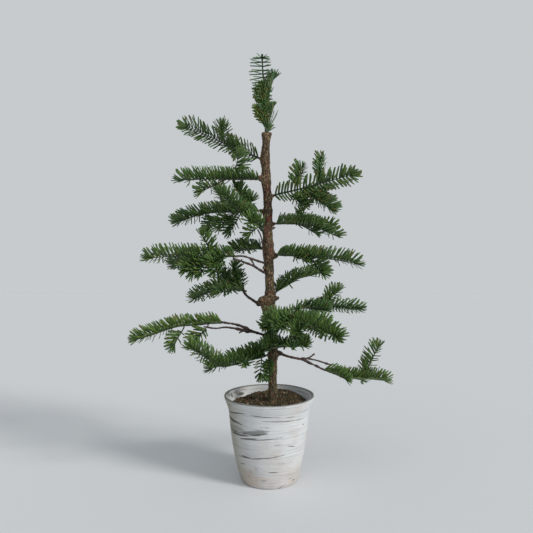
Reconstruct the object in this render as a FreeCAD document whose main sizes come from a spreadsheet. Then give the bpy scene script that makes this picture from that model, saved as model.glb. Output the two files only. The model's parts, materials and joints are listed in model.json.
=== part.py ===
import FreeCAD, Part
import math
import os
import Sketcher
from FreeCAD import Placement, Rotation, Vector

# An artificial tabletop tree: moulded fir sprigs on wrapped wire branches, a bark-covered
# steel trunk, and a hand-made pot filled with cement under a layer of bark crumbs.
# Millimetres. +Z is up, +X is to the tree's right, +Y to its back, and the origin is the
# centre of the pot's foot on the table.
#
# A branch is modelled in its own frame: X out from the trunk, Z up, with the origin at the
# point where its wire bends. "climb" is an angle above the horizontal, "swing" an angle
# round the vertical (anticlockwise from above), and "roll" turns a sprig about its spine.

DRIVING = {
    # Pot
    "pot_height": 122,
    "pot_foot_radius": 42,
    "pot_foot_bevel": 2.5,
    "pot_shoulder_radius": 57.5,
    "pot_shoulder_height": 96,
    "pot_belly": 2.4,
    "pot_rim_radius": 65,
    "pot_lip_width": 5,
    "pot_lip_height": 4,
    "pot_lip_bevel": 1.2,
    "pot_wall": 4,
    "pot_floor": 7,
    # Filling
    "cement_clearance": 0.15,
    "soil_depth_below_rim": 12,
    "soil_layer": 13,
    "soil_mound": 2,
    "soil_crown_radius": 20,
    "soil_edge_clearance": 0.5,
    "soil_trunk_clearance": 0.6,
    # Trunk
    "rod_radius": 2,
    "rod_foot_height": 20,
    "rod_cover": 3,
    "rod_clearance": 0.05,
    "bark_radius": 6.4,
    "bark_ripple": 0.6,
    "bark_foot_clearance": 0.1,
    "bark_top_height": 497,
    "bark_ring_spacing": 27,
    "knot_radius": 3.2,
    "knot_reach": 3,
    # Branch wires
    "wire_radius": 1.2,
    "twig_radius": 0.9,
    "bend_clearance": 0.45,
    # Moulded sprigs
    "spine_half_width": 1.3,
    "sprig_thickness": 1.7,
    "needle_length": 16,
    "needle_width": 2.6,
    "needle_lean": 48,
    "needle_lift": 45,
    "needle_pitch": 9,
    "needle_start": 3,
    "tip_length": 10,
    "stalk_length": 10,
    "sprig_clearance": 0.1,
    "shoot_clearance": 0.3,
}

# Worked out in the spreadsheet from the driving sizes.
DERIVED = {
    "soil_edge_height": "=pot_height - soil_depth_below_rim",
    "soil_crown_height": "=soil_edge_height + soil_mound",
    "cement_top": "=soil_edge_height - soil_layer",
    "rod_length": "=bark_top_height - rod_foot_height - rod_cover",
    "bark_foot_height": "=cement_top + bark_foot_clearance",
    "soil_hole_radius": "=bark_radius + bark_ripple + soil_trunk_clearance",
    "rod_bore_radius": "=rod_radius + rod_clearance",
    "knot_root": "=bark_radius / 2",
    "knot_end": "=bark_radius + bark_ripple + knot_reach",
    "knot_length": "=knot_end - knot_root",
    "branch_start": "=knot_end + bend_clearance",
    "leader_start": "=bark_top_height + bend_clearance",
    "spine_edge": "=spine_half_width / cos(needle_lift)",
    "needle_root": "=needle_width / sin(needle_lean)",
    "needle_root_end": "=needle_start + needle_root",
    "needle_tip_along": "=needle_start + needle_root / 2 + needle_length * cos(needle_lean)",
    "needle_tip_out": "=needle_length * sin(needle_lean)",
}

# The trunk's bends: how far up it, from 0 at the soil's crown to 1 at the top of the bark,
# and how far its centre stands there to the right of the pot's axis.
TRUNK_BENDS = [(0, 5), (0.16, 5.6), (0.38, 2), (0.57, -0.6), (0.9, -4.8), (1, -3.6)]

# Rounds are made of flats, so that the whole tree stays light to draw and to test.
POT_SIDES = 48
BARK_SIDES = 12
WIRE_SIDES = 8
KNOT_SIDES = 6

# Sprig mouldings: pairs of needles, whether it has the bare stalk of a side shoot, and
# whether it runs out to a point or ends square, for the next sprig to butt against.
MOULDINGS = {
    "base_long": {"pairs": 7, "stalk": False, "pointed": False},
    "base_short": {"pairs": 4, "stalk": False, "pointed": False},
    "tip_long": {"pairs": 6, "stalk": False, "pointed": True},
    "tip_short": {"pairs": 4, "stalk": False, "pointed": True},
    "tip_small": {"pairs": 2, "stalk": False, "pointed": True},
    "side_long": {"pairs": 4, "stalk": True, "pointed": True},
    "side_short": {"pairs": 2, "stalk": True, "pointed": True},
}

# One row for each branch, from the top down.
#   root:   how far up the trunk, as in TRUNK_BENDS, and compass angle (0 is +X, 90 is +Y)
#   wire:   runs of bare wire, each a length and a climb
#   twigs:  thin bare forks of the wire: the run they start after, then their own runs
#   spray:  sprigs end to end along the branch, each with its climb, swing and roll
#   sides:  side shoots: the sprig, which sprig of the spray carries it, how far along,
#           then its climb, swing and roll
BRANCHES = {
    "branch_01": {
        "root": (0.896, 158),
        "wire": [(10, 25)],
        "spray": [("base_long", 25, 0, -90), ("tip_long", 26, 3, -90)],
        "sides": [
            ("side_short", 0, 58, 56, -62, 0),
            ("side_short", 0, 36, -6, -70, 0),
        ],
    },
    "branch_02": {
        "root": (0.826, 205),
        "wire": [(8, 0)],
        "spray": [("base_long", -3, 0, 0), ("tip_short", -6, 0, 0)],
        "sides": [
            ("side_short", 0, 30, 98, 0, 0),
            ("side_short", 0, 48, -26, -16, 0),
            ("side_short", 0, 26, 10, -75, 0),
        ],
    },
    "branch_03": {
        "root": (0.761, -22),
        "wire": [(12, 12)],
        "spray": [("base_long", 11, 0, 90), ("tip_short", 12, 4, 90)],
        "sides": [
            ("side_short", 0, 20, 68, 0, 0),
            ("side_short", 0, 57, 84, 0, 0),
            ("side_long", 0, 36, -38, 0, 0),
            ("side_short", 0, 10, -34, 0, 0),
            ("side_short", 0, 28, -20, 52, 0),
        ],
    },
    "branch_04": {
        "root": (0.712, 174),
        "wire": [(9, 0)],
        "spray": [("base_long", -2, 0, 0), ("tip_short", -14, -3, 0)],
        "sides": [
            ("side_short", 0, 40, 65, 0, 0),
            ("side_short", 0, 14, 72, 0, 0),
            ("side_short", 0, 30, -40, 45, 0),
            ("side_short", 0, 52, -40, -45, 0),
            ("side_short", 0, 16, 0, -55, 0),
            ("side_short", 0, 18, -56, -10, 0),
        ],
    },
    "branch_05": {
        "root": (0.662, 21),
        "wire": [(12, 4)],
        "spray": [("base_short", 2, 0, 0), ("tip_long", -20, 0, 0)],
        "sides": [
            ("side_long", 0, 14, -4, -42, 0),
            ("side_short", 0, 26, 60, 0, 0),
            ("side_short", 1, 6, -22, -40, 0),
            ("side_short", 0, 22, 0, 50, 0),
        ],
    },
    "branch_06": {
        "root": (0.623, 212),
        "wire": [(6, 35)],
        "spray": [("base_short", 34, 0, 0), ("tip_short", 38, 0, 0)],
        "sides": [("side_short", 0, 12, 0, 48, 0)],
    },
    "branch_07": {
        "root": (0.569, 128),
        "wire": [(8, 2)],
        "spray": [("tip_long", 0, 0, 0)],
        "sides": [("side_short", 0, 14, 0, 48, 0)],
    },
    "branch_08": {
        "root": (0.552, -16),
        "wire": [(10, -6)],
        "spray": [("base_long", -4, 0, 0), ("tip_short", -10, 3, 0)],
        "sides": [
            ("side_short", 0, 42, -38, -38, 0),
            ("side_short", 0, 26, 0, 48, 0),
        ],
    },
    "branch_09": {
        "root": (0.486, 197),
        "wire": [(16, 30), (26, 18)],
        "twigs": [(0, [(16, -14), (12, -40)])],
        "spray": [("base_long", 1, 0, 0), ("tip_long", -3, 3, 0)],
        "sides": [
            ("side_short", 0, 34, 60, 0, 0),
            ("side_short", 0, 20, -18, 45, 0),
            ("side_long", 0, 48, -14, -42, 0),
            ("side_short", 0, 48, -44, 36, 0),
            ("side_short", 0, 16, -2, -50, 0),
        ],
    },
    "branch_10": {
        "root": (0.392, 38),
        "wire": [(8, 30)],
        "spray": [("base_short", 24, 0, 0), ("tip_long", 8, 0, 0)],
        "sides": [("side_short", 0, 20, 4, 48, 0)],
    },
    "branch_11": {
        "root": (0.364, 152),
        "wire": [(20, 20), (14, 30)],
        "spray": [("base_short", 8, 0, 0), ("tip_long", -20, 0, 0)],
        "sides": [
            ("side_short", 1, 5, 76, 0, 0),
            ("side_short", 0, 20, 88, 0, 0),
            ("side_short", 0, 16, -8, 60, 0),
            ("side_short", 0, 22, -4, -52, 0),
        ],
    },
    "branch_12": {
        "root": (0.332, 18),
        "wire": [(14, 6), (12, 14)],
        "spray": [("base_long", 0, 0, 0), ("tip_short", -5, 0, 0)],
        "sides": [
            ("side_short", 0, 49, 50, 0, 0),
            ("side_short", 0, 16, 0, -46, 0),
            ("side_short", 0, 34, -6, 50, 0),
        ],
    },
    "branch_13": {
        "root": (0.295, -58),
        "wire": [(12, 6)],
        "spray": [("base_long", 4, 0, 0), ("tip_long", -12, 4, 0)],
        "sides": [
            ("side_long", 0, 14, 4, -46, 0),
            ("side_long", 0, 30, 0, 44, 0),
            ("side_short", 0, 50, -18, -42, 0),
            ("side_short", 0, 4, 8, -72, 0),
        ],
    },
    "branch_14": {
        "root": (0.238, 190),
        "wire": [(18, 24), (24, 26), (22, 4)],
        "twigs": [(0, [(24, 4), (38, -3)])],
        "spray": [("base_long", -4, 0, 0), ("tip_long", -17, 0, 0)],
        "sides": [
            ("side_short", 0, 22, -40, 30, 0),
            ("side_short", 0, 56, -60, -25, 0),
        ],
    },
    "branch_15": {
        "root": (0.208, -42),
        "wire": [(10, 4)],
        "spray": [("tip_short", 8, 0, 0)],
        "sides": [
            ("side_short", 0, 16, 4, -44, 0),
            ("side_short", 0, 4, 6, -108, 0),
        ],
    },
    "branch_16": {
        "root": (0.182, 8),
        "wire": [(16, -16), (21, -11), (32, -28)],
        "twigs": [(1, [(12, 4), (24, -16)])],
        "spray": [("base_short", -20, 0, 0), ("tip_long", -6, 0, 0)],
        "sides": [
            ("side_long", 1, 24, 64, 0, 0),
            ("side_short", 0, 14, -16, -44, 0),
            ("side_short", 1, 10, -16, 46, 0),
        ],
    },
    "branch_17": {
        "root": (0.179, 220),
        "wire": [(14, -8)],
        "spray": [("base_long", -5, 0, 0), ("tip_long", 34, -3, 0)],
        "sides": [
            ("side_short", 0, 44, -8, -38, 0),
            ("side_short", 0, 26, 4, 46, 0),
            ("side_short", 0, 12, 0, -52, 0),
        ],
    },
    "branch_18": {
        "root": (0.166, 250),
        "wire": [(7, -20)],
        "spray": [("tip_small", -66, 0, 0)],
        "sides": [],
    },
}

# The leader stands on top of the trunk, its wire pointing up.
LEADER = {
    "wire": [(5, 90)],
    "spray": [("base_short", 92, 0, 90), ("tip_long", 95, 0, 90)],
    "sides": [
        ("side_short", 0, 6, 112, 0, 0),
        ("side_short", 0, 30, 110, 0, 0),
        ("side_short", 1, 8, 72, 0, 0),
        ("side_short", 0, 10, 74, 0, 0),
    ],
}

doc = FreeCAD.newDocument("tabletop_tree")
sheet = doc.addObject("Spreadsheet::Sheet", "Sizes")


def moulding_cells():
    """Each moulding's square end and its point, along the spine."""
    cells = {}
    for name, facts in MOULDINGS.items():
        bare = "stalk_length + " if facts["stalk"] else ""
        tip = " + tip_length" if facts["pointed"] else ""
        cells[name + "_end"] = f"={bare}needle_start + needle_pitch * {facts['pairs']}"
        cells[name + "_point"] = f"={name}_end{tip}"
    return cells


def fill_sheet():
    cells = {**DRIVING, **DERIVED, **moulding_cells()}
    for row, (name, value) in enumerate(cells.items(), start=1):
        sheet.set(f"A{row}", name)
        sheet.set(f"B{row}", str(value))
        sheet.setAlias(f"B{row}", name)
    doc.recompute()


fill_sheet()


def size(name):
    return float(sheet.get(name))


# ------------------------------------------------------------- sketches and features


def new_body(label):
    body = doc.addObject("PartDesign::Body", label)
    body.Label = label
    return body


def origin_part(body, role):
    return next(part for part in body.Origin.OriginFeatures if part.Role == role)


def new_sketch(body, name, plane, offset=Placement()):
    sketch = body.newObject("Sketcher::SketchObject", name)
    sketch.AttachmentSupport = [(origin_part(body, plane), "")]
    sketch.MapMode = "FlatFace"
    sketch.AttachmentOffset = offset
    return sketch


def bind_vertex(sketch, line, across, up):
    """Ties the start of a line to two cells, or to an axis where the cell is None."""
    for kind, cell, axis in (("DistanceX", across, -2), ("DistanceY", up, -1)):
        if cell is None:
            sketch.addConstraint(Sketcher.Constraint("PointOnObject", line, 1, axis))
        else:
            distance = Sketcher.Constraint(kind, -1, 1, line, 1, size(cell))
            index = sketch.addConstraint(distance)
            sketch.setExpression(f"Constraints[{index}]", f"Sizes.{cell}")


def draw_outline(sketch, corners):
    """A closed outline whose corners are pairs of cell names, None for zero."""
    points = [Vector(*(size(cell) if cell else 0 for cell in corner)) for corner in corners]
    count = len(points)
    for index in range(count):
        sketch.addGeometry(Part.LineSegment(points[index], points[(index + 1) % count]))
    for index in range(count):
        sketch.addConstraint(Sketcher.Constraint("Coincident", index, 2, (index + 1) % count, 1))
    for index, (across, up) in enumerate(corners):
        bind_vertex(sketch, index, across, up)


def level_ring(sides, radius, height, offset=0):
    """Corners of a level polygon round an upright axis, which may stand off the pot's."""
    turns = [2 * math.pi * side / sides for side in range(sides)]
    return [Vector(offset + radius * math.cos(turn), radius * math.sin(turn), height) for turn in turns]


def stack(name, rings):
    """A solid with a flat face from each side of a ring to the same side of the next."""
    faces = [Part.Face(Part.makePolygon([*ring, ring[0]])) for ring in (rings[0], rings[-1])]
    for lower, upper in zip(rings, rings[1:]):
        for side in range(len(lower)):
            corners = [lower[side - 1], lower[side], upper[side], upper[side - 1], lower[side - 1]]
            faces.append(Part.Face(Part.makePolygon(corners)))
    form = doc.addObject("Part::Feature", name)
    form.Shape = Part.Solid(Part.makeShell(faces))
    return form


def turned(name, outline):
    """A round form from the radii and heights of its outline, bottom to top."""
    return stack(name, [level_ring(POT_SIDES, radius, height) for radius, height in outline])


def cut(label, form, tool):
    result = doc.addObject("Part::Cut", label)
    result.Label = label
    result.Base = form
    result.Tool = tool
    doc.recompute()
    return result


def fuse(name, forms):
    if len(forms) == 1:
        forms[0].Label = name
        return forms[0]
    result = doc.addObject("Part::MultiFuse", name)
    result.Shapes = forms
    result.Refine = True
    doc.recompute()
    return result


# ------------------------------------------------------------------------------- pot


def pot_radius(height):
    """Outside of the pot: a bellied wall up to the shoulder, then a flare to the rim."""
    foot, shoulder = size("pot_foot_radius"), size("pot_shoulder_radius")
    shoulder_height, under_lip = size("pot_shoulder_height"), pot_lip_under()
    if height <= shoulder_height:
        rise = height / shoulder_height
        swell = size("pot_belly") * 4 * rise * (1 - rise)
        return foot + (shoulder - foot) * rise + swell
    flare = (height - shoulder_height) / (under_lip - shoulder_height)
    return shoulder + (size("pot_rim_radius") - shoulder) * flare**1.5


def pot_lip_under():
    return size("pot_height") - size("pot_lip_height")


def evenly(low, high, steps):
    return [low + (high - low) * step / steps for step in range(steps + 1)]


def hollow_outline():
    """Inside of the pot, a wall's thickness in: radius and height of each ring."""
    rings = []
    for height in evenly(size("pot_floor"), size("pot_shoulder_height"), 3):
        rings.append((pot_radius(height) - size("pot_wall"), height))
    return [*rings, (size("pot_rim_radius") - size("pot_lip_width"), size("pot_height"))]


def hollow_radius(height):
    """Radius of the hollow where its flat faces are at this height."""
    rings = hollow_outline()
    for (low_radius, low), (high_radius, high) in zip(rings, rings[1:]):
        if height <= high:
            break
    return low_radius + (high_radius - low_radius) * (height - low) / (high - low)


def make_pot():
    """Thrown pot: bevelled foot, bellied wall, flared rim with a squared lip."""
    bevel, lip_bevel = size("pot_foot_bevel"), size("pot_lip_bevel")
    rim, top, shoulder = size("pot_rim_radius"), size("pot_height"), size("pot_shoulder_height")
    outside = [(pot_radius(0) - bevel, 0)]
    outside += [(pot_radius(height), height) for height in evenly(bevel, shoulder, 4)]
    outside += [(pot_radius(height), height) for height in evenly(shoulder, pot_lip_under(), 3)[1:]]
    outside += [(rim, top - lip_bevel), (rim - lip_bevel, top)]
    return cut("pot", turned("pot_outside", outside), turned("pot_hollow", hollow_outline()))


def fill_outline(low, high, gap):
    """What lies in the hollow between two heights, clear of its wall by a gap."""
    heights = [low, *(ring[1] for ring in hollow_outline() if low < ring[1] < high), high]
    return [(hollow_radius(height) - gap, height) for height in heights]


def make_cement():
    """Cement cast in the pot round the rod; it keeps the tree upright."""
    outline = fill_outline(size("pot_floor"), size("cement_top"), size("cement_clearance"))
    return cut("pot_weight", turned("cement", outline), make_bore("rod_socket"))


def make_soil():
    """Layer of bark crumbs, mounded towards the trunk, with a hole for it."""
    foot, edge = size("cement_top"), size("soil_edge_height")
    outline = fill_outline(foot, edge, size("soil_edge_clearance"))
    outline.append((size("soil_crown_radius"), size("soil_crown_height")))
    hole = doc.addObject("Part::Cylinder", "trunk_hole")
    hole.setExpression("Radius", "Sizes.soil_hole_radius")
    hole.setExpression("Height", "Sizes.pot_height")
    hole.Placement.Base = Vector(trunk_offset(foot), 0, 0)
    return cut("soil_cover", turned("crumbs", outline), hole)


# ----------------------------------------------------------------------------- trunk


def trunk_height(share):
    """Height of a point that is so far up the trunk."""
    crown = size("soil_crown_height")
    return crown + (size("bark_top_height") - crown) * share


def trunk_offset(height):
    """How far the trunk's centre stands to the right at a height."""
    bends = [(trunk_height(share), offset) for share, offset in TRUNK_BENDS]
    for (low, left), (high, right) in zip(bends, bends[1:]):
        if height <= high:
            break
    return left + (right - left) * (height - low) / (high - low)


def rod_place():
    """The rod is straight: it leans so as to stay inside the crooked bark."""
    foot, top = size("rod_foot_height"), size("bark_top_height")
    soil = size("soil_crown_height")
    lean = (trunk_offset(top) - trunk_offset(soil)) / (top - soil)
    start = Vector(trunk_offset(soil) + lean * (foot - soil), 0, foot)
    return Placement(start, Rotation(Vector(0, 1, 0), math.degrees(math.atan(lean))))


def rod_bar(name, radius_cell, length_cell):
    bar = doc.addObject("Part::Cylinder", name)
    bar.setExpression("Radius", f"Sizes.{radius_cell}")
    bar.setExpression("Height", f"Sizes.{length_cell}")
    bar.Placement = rod_place()
    doc.recompute()
    return bar


def make_rod():
    """Steel rod from inside the cement to just under the bark's top."""
    rod = rod_bar("trunk_core", "rod_radius", "rod_length")
    rod.Label = "trunk_core"
    return rod


def make_bore(name):
    return rod_bar(name, "rod_bore_radius", "rod_length")


def bark_rings():
    """Heights of the bark's rings: at every bend and evenly between them."""
    foot, top = size("bark_foot_height"), size("bark_top_height")
    bends = [foot, *(trunk_height(share) for share, _ in TRUNK_BENDS[1:-1]), top]
    heights = [foot]
    for low, high in zip(bends, bends[1:]):
        heights += evenly(low, high, max(1, round((high - low) / size("bark_ring_spacing"))))[1:]
    return heights


def make_bark():
    """Moulded bark sleeve: uneven rings round the rod, with a knot at every branch."""
    rings = []
    for number, height in enumerate(bark_rings()):
        radius = size("bark_radius") + size("bark_ripple") * math.sin(2.3 * number)
        rings.append(level_ring(BARK_SIDES, radius, height, trunk_offset(height)))
    forms = [stack("bark", rings)]
    for name, branch in BRANCHES.items():
        knot = doc.addObject("Part::Prism", name + "_knot")
        knot.Polygon = KNOT_SIDES
        knot.setExpression("Circumradius", "Sizes.knot_radius")
        knot.setExpression("Height", "Sizes.knot_length")
        inside = Placement(Vector(0, 0, size("knot_root")), Rotation())
        knot.Placement = knot_frame(branch).multiply(inside)
        forms.append(knot)
    return cut("trunk_bark", fuse("knotted_bark", forms), make_bore("rod_bore"))


def knot_frame(branch):
    """On the trunk's centre line, with Z out along the first run of the branch's wire."""
    share, compass = branch["root"]
    height = trunk_height(share)
    climb = branch["wire"][0][1]
    turn = Rotation(Vector(0, 0, 1), compass) * Rotation(Vector(0, 1, 0), 90 - climb)
    return Placement(Vector(trunk_offset(height), 0, height), turn)


# -------------------------------------------------------------------------- branches


def branch_frame(branch):
    """Where the wire leaves its knot, turned to the branch's compass angle."""
    if "root" not in branch:
        top = size("bark_top_height")
        return Placement(Vector(trunk_offset(top), 0, size("leader_start")), Rotation())
    start = knot_frame(branch).multVec(Vector(0, 0, size("branch_start")))
    return Placement(start, Rotation(Vector(0, 0, 1), branch["root"][1]))


def chain_points(start, runs):
    """Corners of a chain of straight runs in the branch's upright plane."""
    points = [start]
    for length, climb in runs:
        angle = math.radians(climb)
        points.append(points[-1] + Vector(length * math.cos(angle), 0, length * math.sin(angle)))
    return points


def sweep(name, points, radius_cell):
    """A bar along straight runs, with mitred corners."""
    path = doc.addObject("Part::Polygon", name + "_path")
    path.Nodes = points
    section = doc.addObject("Part::RegularPolygon", name + "_section")
    section.Polygon = WIRE_SIDES
    section.setExpression("Circumradius", f"Sizes.{radius_cell}")
    section.Placement = Placement(points[0], Rotation(Vector(0, 0, 1), points[1] - points[0]))
    doc.recompute()
    bar = doc.addObject("Part::Sweep", name)
    bar.Sections = [section]
    bar.Spine = (path, [f"Edge{number + 1}" for number in range(len(points) - 1)])
    bar.Solid = True
    bar.Transition = "Right corner"
    doc.recompute()
    return bar


def make_stem(name, branch):
    """Paper-wrapped wire, with its bare forks."""
    points = chain_points(Vector(), branch["wire"])
    bars = [sweep(name + "_wire", points, "wire_radius")]
    for number, (run, runs) in enumerate(branch.get("twigs", []), start=1):
        fork = chain_points(points[run + 1], runs)
        bars.append(sweep(f"{name}_twig_{number}", fork, "twig_radius"))
    stem = fuse(name + "_stem", bars)
    stem.Label = name + "_stem"
    stem.Placement = branch_frame(branch)
    return stem


def make_moulding(name, pairs, stalk):
    """One sprig along X: a folded spine with a pair of needles at every pitch.

    Half of it is padded on a plane that rises from the spine by the needles' lift, and
    the other half is its mirror image.
    """
    body = new_body("moulding_" + name)
    lifted = Placement(Vector(), Rotation(Vector(1, 0, 0), size("needle_lift")))
    spine = new_sketch(body, "spine_outline", "XY_Plane", lifted)
    corners = [(None, None), (name + "_point", None), (name + "_end", "spine_edge")]
    draw_outline(spine, [*corners, (None, "spine_edge")])
    add_plate(body, "spine", spine)
    needle = new_sketch(body, "needle_outline", "XY_Plane", lifted)
    if stalk:
        needle.setExpression("AttachmentOffset.Base.x", "Sizes.stalk_length")
    needle_corners = [
        ("needle_start", None),
        ("needle_root_end", None),
        ("needle_tip_along", "needle_tip_out"),
    ]
    draw_outline(needle, needle_corners)
    blade = add_plate(body, "needle", needle)
    row = body.newObject("PartDesign::LinearPattern", "needle_row")
    row.Originals = [blade]
    row.Direction = (needle, ["H_Axis"])
    row.Mode = "Spacing"
    row.setExpression("Offset", "Sizes.needle_pitch")
    row.Occurrences = pairs
    body.Tip = row
    doc.recompute()
    whole = body.newObject("PartDesign::Mirrored", "both_rows")
    whole.TransformMode = "Whole shape"
    whole.MirrorPlane = (origin_part(body, "XZ_Plane"), [""])
    body.Tip = whole
    doc.recompute()
    return body


def add_plate(body, name, sketch):
    plate = body.newObject("PartDesign::Pad", name)
    plate.Profile = sketch
    plate.SideType = "Symmetric"
    plate.UseCustomVector = True
    plate.AlongSketchNormal = False
    plate.Direction = Vector(0, 0, 1)
    plate.setExpression("Length", "Sizes.sprig_thickness")
    doc.recompute()
    return plate


def sprig_turn(climb, swing, roll):
    upright = Rotation(Vector(0, 0, 1), swing) * Rotation(Vector(0, 1, 0), -climb)
    return upright * Rotation(Vector(1, 0, 0), roll)


def fold_height():
    """From the fold of a spine up to its edges."""
    return size("spine_half_width") * math.tan(math.radians(size("needle_lift")))


def section_corners():
    """Corners of a spine's square end, in the sprig's own frame."""
    half, plate, fold = size("spine_half_width"), size("sprig_thickness") / 2, fold_height()
    edges = [Vector(0, side, fold + face) for side in (-half, half) for face in (-plate, plate)]
    return [*edges, Vector(0, 0, -plate), Vector(0, 0, plate)]


def butt_gap(kink):
    """Room between two sprigs end to end, so that their square ends clear at a kink."""
    reach = fold_height() + size("sprig_thickness") / 2
    return size("sprig_clearance") + reach * math.sin(math.radians(abs(kink)))


def spray_frames(branch):
    """Frames of the sprigs that follow one another along the branch."""
    place = chain_points(Vector(), branch["wire"])[-1]
    last_climb = branch["wire"][-1][1]
    frames = []
    for moulding, climb, swing, roll in branch["spray"]:
        turn = sprig_turn(climb, swing, roll)
        forward = turn.multVec(Vector(1, 0, 0))
        place = place + forward * butt_gap(climb - last_climb)
        frames.append(Placement(place, turn))
        place = place + forward * size(moulding + "_end")
        last_climb = climb
    return frames


def shoot_frame(carrier, along, climb, swing, roll):
    """A side shoot starts just clear of its carrier's spine, on the side it heads for."""
    turn = sprig_turn(climb, swing, roll)
    leaning = carrier.Rotation.inverted() * turn
    heading = leaning.multVec(Vector(1, 0, 0))
    if abs(heading.y) >= abs(heading.z):
        side, drop = Vector(0, math.copysign(1, heading.y), 0), fold_height() / 2
    else:
        side, drop = Vector(0, 0, math.copysign(1, heading.z)), 0
    surface = max(side.dot(corner) for corner in section_corners())
    butt = max(-side.dot(leaning.multVec(corner)) for corner in section_corners())
    seat = side * (surface + size("shoot_clearance") + butt) + Vector(along, 0, -drop)
    return Placement(carrier.multVec(seat), turn)


def make_needles(name, branch, mouldings):
    """The branch's sprigs, each a copy of one moulding."""
    frames = spray_frames(branch)
    placed = [(row[0], frame) for row, frame in zip(branch["spray"], frames)]
    for moulding, carrier, along, climb, swing, roll in branch["sides"]:
        placed.append((moulding, shoot_frame(frames[carrier], along, climb, swing, roll)))
    links = []
    for number, (moulding, frame) in enumerate(placed, start=1):
        link = doc.addObject("App::Link", f"{name}_sprig_{number}")
        link.LinkedObject = mouldings[moulding]
        link.Placement = frame
        links.append(link)
    group = doc.addObject("Part::Compound", name + "_needles")
    group.Label = name + "_needles"
    group.Links = links
    group.Placement = branch_frame(branch)
    doc.recompute()
    return group


# ------------------------------------------------------------------------- the model


def build():
    pieces = [make_pot(), make_cement(), make_soil(), make_rod(), make_bark()]
    mouldings = {}
    for name, facts in MOULDINGS.items():
        mouldings[name] = make_moulding(name, facts["pairs"], facts["stalk"])
    for name, branch in {**BRANCHES, "leader": LEADER}.items():
        pieces.append(make_stem(name, branch))
        pieces.append(make_needles(name, branch, mouldings))
    return pieces


def check(pieces):
    doc.recompute()
    for thing in doc.Objects:
        if "Invalid" in thing.State or "Error" in thing.State:
            raise RuntimeError(f"{thing.Name} is {thing.State}")
    for piece in pieces:
        if piece.Shape.isNull() or not piece.Shape.isValid() or piece.Shape.Volume <= 0:
            raise RuntimeError(f"{piece.Label} has no valid shape")


def write(pieces):
    os.makedirs("parts", exist_ok=True)
    for piece in pieces:
        piece.Shape.exportStep(f"parts/{piece.Label}.step")


all_pieces = build()
check(all_pieces)
write(all_pieces)
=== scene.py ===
import json
import math
import random

import bpy
import numpy as np
from mathutils import Matrix, Vector, noise

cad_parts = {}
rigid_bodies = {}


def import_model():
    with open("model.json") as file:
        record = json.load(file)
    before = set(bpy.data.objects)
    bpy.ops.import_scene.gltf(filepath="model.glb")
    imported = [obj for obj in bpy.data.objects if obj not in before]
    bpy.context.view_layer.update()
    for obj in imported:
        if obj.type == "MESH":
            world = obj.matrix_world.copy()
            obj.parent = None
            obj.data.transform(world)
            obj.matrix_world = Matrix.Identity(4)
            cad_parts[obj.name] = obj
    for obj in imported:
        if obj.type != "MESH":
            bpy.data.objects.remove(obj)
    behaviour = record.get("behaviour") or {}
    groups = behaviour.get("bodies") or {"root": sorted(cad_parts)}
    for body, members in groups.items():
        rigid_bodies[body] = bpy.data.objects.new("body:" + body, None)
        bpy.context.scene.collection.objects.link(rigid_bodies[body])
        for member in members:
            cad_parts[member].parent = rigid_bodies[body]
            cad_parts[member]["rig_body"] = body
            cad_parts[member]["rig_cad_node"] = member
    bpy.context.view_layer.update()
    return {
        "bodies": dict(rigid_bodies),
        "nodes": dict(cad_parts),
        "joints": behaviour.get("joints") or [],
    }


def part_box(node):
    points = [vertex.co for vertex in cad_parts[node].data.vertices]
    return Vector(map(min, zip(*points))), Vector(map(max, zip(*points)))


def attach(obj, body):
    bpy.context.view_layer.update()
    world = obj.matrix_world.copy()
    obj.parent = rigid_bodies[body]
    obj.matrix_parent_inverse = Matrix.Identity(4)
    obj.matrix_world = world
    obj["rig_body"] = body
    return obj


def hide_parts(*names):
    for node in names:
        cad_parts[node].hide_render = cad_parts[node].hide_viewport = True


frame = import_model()

# The looks of a potted artificial fir. Metres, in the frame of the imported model: +Z up,
# the pot's foot at the origin, the front towards -Y.

MM = 0.001
NOISE_SEED = 11
# Without a seed, noise_vector takes its offsets from the clock.
noise.seed_set(NOISE_SEED)

# ------------------------------------------------------------------ working with meshes


def deselect():
    bpy.ops.object.select_all(action="DESELECT")


def added(operator, name, **settings):
    """A new primitive, as the active object."""
    deselect()
    operator(**settings)
    piece = bpy.context.object
    piece.name = piece.data.name = name
    return piece


def make_active(piece):
    deselect()
    piece.select_set(True)
    bpy.context.view_layer.objects.active = piece


def edit(piece, selected="SELECT"):
    make_active(piece)
    bpy.ops.object.mode_set(mode="EDIT")
    bpy.ops.mesh.select_mode(type="VERT")
    bpy.ops.mesh.select_all(action=selected)


def leave_edit():
    bpy.ops.object.mode_set(mode="OBJECT")


def clean(piece, distance=0.01 * MM):
    """Merges doubles and points every face outwards."""
    edit(piece)
    bpy.ops.mesh.remove_doubles(threshold=distance)
    bpy.ops.mesh.normals_make_consistent(inside=False)
    leave_edit()


def points_of(piece):
    points = np.zeros(len(piece.data.vertices) * 3)
    piece.data.vertices.foreach_get("co", points)
    return points.reshape(-1, 3)


def set_points(piece, points):
    piece.data.vertices.foreach_set("co", np.asarray(points, float).ravel())
    piece.data.update()


def faces_of(piece):
    return [list(face.vertices) for face in piece.data.polygons]


def modifier(piece, kind, **settings):
    """Adds a modifier and applies it."""
    made = piece.modifiers.new(kind.lower(), kind)
    for name, value in settings.items():
        setattr(made, name, value)
    make_active(piece)
    bpy.ops.object.modifier_apply(modifier=made.name)


def remove(piece):
    bpy.data.objects.remove(piece, do_unlink=True)


def smooth(piece):
    make_active(piece)
    bpy.ops.object.shade_smooth()


def tint_rows(count, own, along=1.0, tone=1.0):
    """A row for each point: its copy's own number, the place along it and its tone."""
    rows = np.ones((count, 4))
    rows[:, 0], rows[:, 1], rows[:, 2] = own, along, tone
    return rows


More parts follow.
